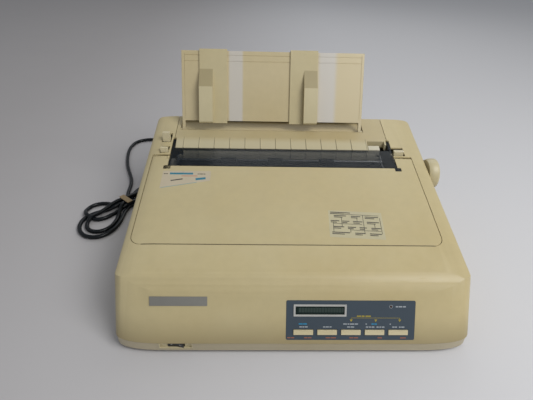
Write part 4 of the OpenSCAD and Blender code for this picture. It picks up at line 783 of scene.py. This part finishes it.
printed(
    "panel_orange_marks", nodes["control_panel"], crease, face_slope, panel_lift,
    row_of(
        (
            (-9.4, 4), (-4.8, 4.2), (11.6, 4.2), (16.4, 4.4), (38.4, 5.4), (44.6, 6.6), (67.8, 4.8),
            (73.4, 5.4), (103.2, 5.6), (131.4, 7.2),
        ),
        -72.1, -71.0,
    ),
    ink_orange, *panel_print,
)
yellow = [
    stroke(69.3, 130.2, -46.4, -46.0), stroke(69.3, 69.7, -48.4, -46.0), stroke(129.8, 130.2, -48.4, -46.0),
]
yellow += row_of(((76.4, 5.2), (82.4, 3.6), (87.2, 6.6)), -44.6, -43.2)
for x in (69.5, 100.1, 130):
    bpy.ops.object.select_all(action="DESELECT")
    bpy.ops.mesh.primitive_circle_add(
        vertices=3, radius=0.0021, fill_type="NGON", location=(x / 1000, -0.0492, 0),
        rotation=(0, 0, math.pi),
    )
    bpy.ops.object.transform_apply(location=True, rotation=True, scale=True)
    yellow.append(bpy.context.object)
printed(
    "panel_yellow_marks", nodes["control_panel"], crease, face_slope, panel_lift, yellow, ink_yellow,
    *panel_print,
)

bezel_silver = moulding("bezel_silver", hue(186, 185, 180), hue(172, 171, 166), rough=0.3, wear=0.3)
dress(bezel_silver, "display_frame")
display_dark = moulding(
    "display_dark", hue(27, 40, 37), hue(30, 43, 40), rough=0.28, depth=0.000002, wear=0.0, dust=0.0,
    hollow_darkening=0.3,
)
display_dark.node_tree.nodes["Principled BSDF"].inputs["IOR"].default_value = 1.2
display_ghost = ink("display_ghost", hue(52, 66, 60), 0.2)
display_pane = recast("display_glass", "display_pane", display_dark, "case", "display", soften=0.15)
cell_x0, cell_w, cell_pitch, cell_count = 4.6, 2.8, 3.55, 16
cell_places = [cell_x0 + cell_pitch * k for k in range(cell_count)]
cells = [stroke(x, x + cell_w, -39.6, -33.8) for x in cell_places]
printed(
    "display_cells", display_pane, (0, -144.88, 87.7), face_slope, 0.05, cells, display_ghost, "case",
    "display",
)

lamp_red = moulding("lamp_red", hue(74, 40, 38), hue(62, 36, 34), rough=0.18, wear=0.0, dust=0.02, hollow_darkening=0.0)
lens = spun("lamp_lens", [(1.3, -0.5), (1.3, 0.1), (1.0, 0.5), (0.5, 0.72), (0, 0.78), (0, -0.5)], 20)
lamp_spot = (118.6, -31.8, 0)
put_at(lens, lamp_spot)
settle(put_at(lens, crease, (face_slope, 0, 0)), lamp_red, "case", "panel_grey")
ring = spun("lamp_ring", [(1.75, 0.22), (2.2, 0.22), (2.2, 0.28), (1.75, 0.28), (1.75, 0.22)], 28)
put_at(ring, lamp_spot)
settle(put_at(ring, crease, (face_slope, 0, 0)), ink_white, "case", "panel_grey")

# Five keys stand just proud of the panel. Each is moulded with a shallow hollow along it.
key_plastic = moulding("key_plastic", hue(214, 204, 170), hue(204, 190, 150), rough=0.36, wear=0.3, dust=0.04)
for number in range(1, 6):
    recast(f"key_{number}", f"key_cap_{number}", key_plastic, f"key_{number}", "key_cream", soften=0.45)

# The nameplate is a bare strip of brushed alloy film, glued to the front face.
plate_silver = metal(
    "plate_silver", hue(142, 140, 133), hue(131, 129, 123), rough=0.46, streak=(1, 30, 30), scale=60,
    metallic=0.35,
)
recast("nameplate", "bare_plate", plate_silver, "case", "plate_silver", soften=0.15)

# The power switch is a black rocker in a pale clip-in frame, low on the front at the left.
# The line and the ring on it are the usual marks for on and off.
frame_cream = moulding("frame_cream", hue(210, 199, 164), hue(202, 189, 150), rough=0.36, wear=0.4, dust=0.03)
switch_black = moulding(
    "switch_black", hue(24, 25, 29), hue(30, 31, 35), rough=0.28, wear=0.15, dust=0.03, hollow_darkening=0.0,
)
recast("switch_frame", "switch_surround", frame_cream, "case", "pale_cream", soften=0.25)
rocker = recast("power_rocker", "switch_rocker", switch_black, "rocker", "switch_black", soften=0.3)
legend = [stroke(-6.6, -4.6, -0.5, 0.5)]
legend += [stroke(4.4, 6.8, -0.9, -0.6), stroke(4.4, 6.8, 0.6, 0.9)]
legend += [stroke(4.4, 4.7, -0.6, 0.6), stroke(6.5, 6.8, -0.6, 0.6)]
for mark in legend:
    put_at(mark, (0, 0, 0), (90, 0, 0))
printed(
    "rocker_marks", rocker, (-147, -182.4, 13.35), 0, 0.05, legend, ink("ink_pale", hue(190, 190, 186)),
    "rocker", "switch_black",
)

# Two levers stand in slots at the left of the lid and the bail's cap at the right. All three
# are capped in the same pale plastic as the switch's frame.
recast("release_lever", "release_cap", frame_cream, "release_lever", "lever_cream", soften=0.45)
recast("gap_lever", "gap_cap", frame_cream, "gap_lever", "lever_cream", soften=0.45)

# The works stand between two pressed steel side frames, tied by a rail and a ground rod.
# They are plated, and a little dull with age.
frame_steel = metal("frame_steel", hue(178, 180, 182), hue(150, 148, 140), rough=0.4, scale=40)
shaft_steel = metal(
    "shaft_steel", hue(190, 192, 195), hue(168, 168, 166), rough=0.22, streak=(0.05, 1, 1), scale=900,
)
motor_steel = metal("motor_steel", hue(120, 120, 122), hue(96, 94, 90), rough=0.4, scale=60)
pan_steel = metal("pan_steel", hue(84, 86, 90), hue(70, 70, 72), rough=0.45, metallic=0.6)
dress(frame_steel, "side_frame_left", "side_frame_right", "front_rail")
dress(shaft_steel, "platen_shaft", "carriage_rod")
dress(pan_steel, "paper_pan")

# The platen is a rubber sleeve on a steel shaft, turned by the knob or through three gears.
# The gears are white nylon, and the motor's own pinion is brass.
platen_rubber = moulding("platen_rubber", hue(40, 40, 43), hue(48, 47, 48), rough=0.55, wear=0.0)
gear_nylon = moulding("gear_nylon", hue(226, 223, 210), hue(214, 208, 188), rough=0.4)
gear_brass = metal("gear_brass", hue(200, 170, 98), hue(160, 128, 66), rough=0.3)
dress(platen_rubber, "platen")
dress(gear_nylon, "platen_gear", "idler_gear", "drive_pulley", "belt_pulley", "ribbon_knob")
dress(gear_brass, "feed_pinion")

# The paper bail is a bright rod with three rubber rollers, swung by a capped arm at the right.
def block(name, low, high, soften=0.3, steps=2):
    """A squared block between two corners in millimetres, its edges rounded by a bevel."""
    bpy.ops.object.select_all(action="DESELECT")
    middle = [(a + b) / 2000 for a, b in zip(low, high)]
    bpy.ops.mesh.primitive_cube_add(size=1, location=middle)
    piece = bpy.context.object
    piece.name = name
    piece.scale = [(b - a) / 1000 for a, b in zip(low, high)]
    bpy.ops.object.transform_apply(location=True, rotation=True, scale=True)
    if soften:
        bpy.ops.object.mode_set(mode="EDIT")
        bpy.ops.mesh.select_all(action="SELECT")
        bpy.ops.mesh.bevel(offset=soften / 1000, segments=steps, affect="EDGES")
        bpy.ops.object.mode_set(mode="OBJECT")
    return piece


roller_rubber = moulding("roller_rubber", hue(46, 46, 49), hue(52, 52, 54), rough=0.6, wear=0.0)
bail_steel = metal(
    "bail_steel", hue(186, 188, 190), hue(164, 164, 160), rough=0.25, streak=(0.05, 1, 1), scale=900,
)
dress(bail_steel, "paper_bail")
bail_cap = block("bail_cap", (174.5, 87.9, 136.0), (190.1, 95.3, 144.3), 0.7, 3)
dress(roller_rubber, "bail_rollers")
bail_shield = block("bail_shield", (175.0, 86.6, 130.6), (191.6, 106.2, 131.6), 0.3)
settle(joined("bail_cap", [bail_cap, bail_shield]), frame_cream, "bail", "lever_cream")

# The carriage is a black moulding that slides on the rod behind a toothed belt, with the
# finned alloy print head on it and the flat black ribbon cartridge over the front.
carriage_plastic = moulding("carriage_plastic", hue(40, 41, 43), hue(46, 46, 47), rough=0.42)
head_alloy = metal("head_alloy", hue(130, 132, 136), hue(104, 104, 104), rough=0.5, scale=200)
ribbon_plastic = moulding("ribbon_plastic", hue(34, 35, 37), hue(42, 42, 42), rough=0.38)
belt_rubber = moulding("belt_rubber", hue(34, 34, 34), hue(42, 41, 40), rough=0.7)
guide_plastic = moulding("guide_plastic", hue(204, 198, 176), hue(190, 182, 156), rough=0.45)
dress(carriage_plastic, "carriage")
dress(head_alloy, "print_head")
dress(ribbon_plastic, "ribbon_cartridge")
dress(belt_rubber, "drive_belt")
dress(guide_plastic, "exit_guide")

# The two motors are plated steel cans. The feed motor lies along the frame, and its can is
# turned with a shallow groove and a rounded rear rim. The carriage motor stands upright.
can_low, can_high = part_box("feed_motor")
can_axis = [(can_low[k] + can_high[k]) * 500 for k in range(3)]
can_r = (can_high[1] - can_low[1]) * 500
rim_r, groove_r = can_r - 0.03, can_r - 0.8
can_len = (can_high[0] - can_low[0]) * 1000
feed_can = spun(
    "feed_can",
    [
        (0, 0.02), (can_r - 1.6, 0.02), (can_r - 0.5, 0.5), (rim_r, 1.6), (rim_r, can_len * 0.30),
        (groove_r, can_len * 0.32), (groove_r, can_len * 0.36), (rim_r, can_len * 0.38),
        (rim_r, can_len - 1.4), (can_r - 1.2, can_len - 0.02), (0, can_len - 0.02),
    ],
    48,
)
settle(
    put_at(feed_can, (can_low[0] * 1000, can_axis[1], can_axis[2]), (0, 90, 0)), motor_steel, "case",
    "motor_steel", "feed_motor",
)
dress(motor_steel, "carriage_motor")

# The main board is a green plate on four posts under the carriage's path, with two rows of
# black chips and two tall capacitors. A smaller board carries the key switches.
board_green = moulding("board_green", hue(44, 92, 62), hue(38, 82, 58), rough=0.4)
chip_black = moulding("chip_black", hue(34, 35, 38), hue(42, 42, 44), rough=0.45, wear=0.0)
solder_tin = metal("solder_tin", hue(190, 192, 194), hue(160, 160, 158), rough=0.35)
can_blue = moulding("can_blue", hue(38, 52, 92), hue(34, 46, 80), rough=0.35, wear=0.0)
dress(board_green, "key_board")
board_parts = [block("board_plate", (-9.95, 3.65, 13.55), (139.95, 153.55, 15.08), 0.15, 1)]
post = spun(
    "board_post",
    [(0, 7.52), (3.95, 7.52), (3.95, 13.6), (1.7, 13.6), (1.7, 15.5), (3.2, 15.6), (2.4, 16.6), (0, 16.9)],
    20,
)
board_parts += [copied(post, (x, y, 0)) for x, y in ((134, 9.6), (-4, 147.6), (134, 147.6))]
board_parts.append(put_at(post, (-4, 9.6, 0)))
settle(joined("board_on_posts", board_parts), board_green, "case", "board_green", "main_board")
chips = []
pins = []
pin_pitch = 3
wide_chips = [(10 + 40 * k, 33.6, 28, 14, 18.9) for k in range(3)]
narrow_chips = [(10 + 26 * k, 63.6, 18, 8, 18.4) for k in range(4)]
for x, y, w, d, h in wide_chips + narrow_chips:
    chips.append(block("chip", (x + 0.1, y + 1.6, 15.5), (x + w - 0.1, y + d - 1.6, h), 0.25, 1))
    for k in range(int((w - 2) // pin_pitch)):
        for side in (y + 0.5, y + d - 1.5):
            left = x + 1.4 + pin_pitch * k
            pins.append(block("pin", (left, side, 15.0), (left + 1.0, side + 1.0, 17.0), 0, 1))
settle(joined("board_chips", chips), chip_black, "case", "board_green")
settle(joined("chip_pins", pins), solder_tin, "case", "board_green")
canned = spun(
    "capacitor",
    [
        (0, 15.02), (7.9, 15.02), (7.9, 17.0), (7.3, 17.6), (7.9, 18.2), (7.9, 38.2), (7.3, 38.95),
        (6.6, 38.7), (0, 38.7),
    ],
    32,
)
second = copied(canned, (100, 120.6, 0))
settle(joined("board_capacitors", [put_at(canned, (100, 98.6, 0)), second]), can_blue, "case", "board_green")

# The transformer is a stack of iron plates round a taped coil, bolted to the tray's floor.
core_iron = metal(
    "core_iron", hue(104, 98, 90), hue(84, 74, 62), rough=0.5, streak=(1, 1, 60), scale=40, metallic=0.7,
)
coil_tape = moulding("coil_tape", hue(190, 168, 96), hue(170, 146, 80), rough=0.45, wear=0.0)
core = block("iron_core", (-160.95, 110.65, 7.55), (-95.05, 154.55, 61.45), 0.5, 1)
settle(core, core_iron, "case", "core_iron", "transformer")
coil = block("coil", (-148.95, 102.65, 17.55), (-107.05, 162.55, 51.45), 5, 4)
settle(coil, coil_tape, "case", "core_iron")

# The port is a wide black plastic socket that stands in a window of the back wall.
port_plastic = moulding("port_plastic", hue(54, 55, 58), hue(60, 60, 62), rough=0.45)
dress(port_plastic, "port_socket")

# The cord's fittings are a ribbed bushing in the back wall, turned from its outline, a plug
# with two blades at the far end, both in black vinyl, and a brown paper tie round the hank.
bushing = spun(
    "bushing",
    [
        (0, -5.45), (8.9, -5.45), (8.9, -2.65), (6.85, -2.65), (6.85, 0.15), (8.45, 0.15), (8.45, 2),
        (6.5, 3), (7.2, 3.4), (7.0, 6.2), (6.2, 6.4), (6.2, 7.6), (6.9, 7.8), (6.6, 10.6), (5.9, 10.8),
        (5.9, 12), (6.4, 12.2), (6.2, 15), (5.6, 15.2), (5.6, 16.4), (6.0, 16.6), (5.7, 19.6), (5.3, 19.8),
        (5.3, 25.2), (4.6, 25.95), (0, 25.95),
    ],
    32,
)
settle(put_at(bushing, (-150, 184.6, 34), (-90, 0, 0)), cord_material, "case", "cord_black", "cord_bushing")
dress(cord_material, "cord_plug")
tie_paper = moulding("tie_paper", hue(168, 146, 110), hue(150, 128, 92), rough=0.7)
dress(tie_paper, "cord_tie")
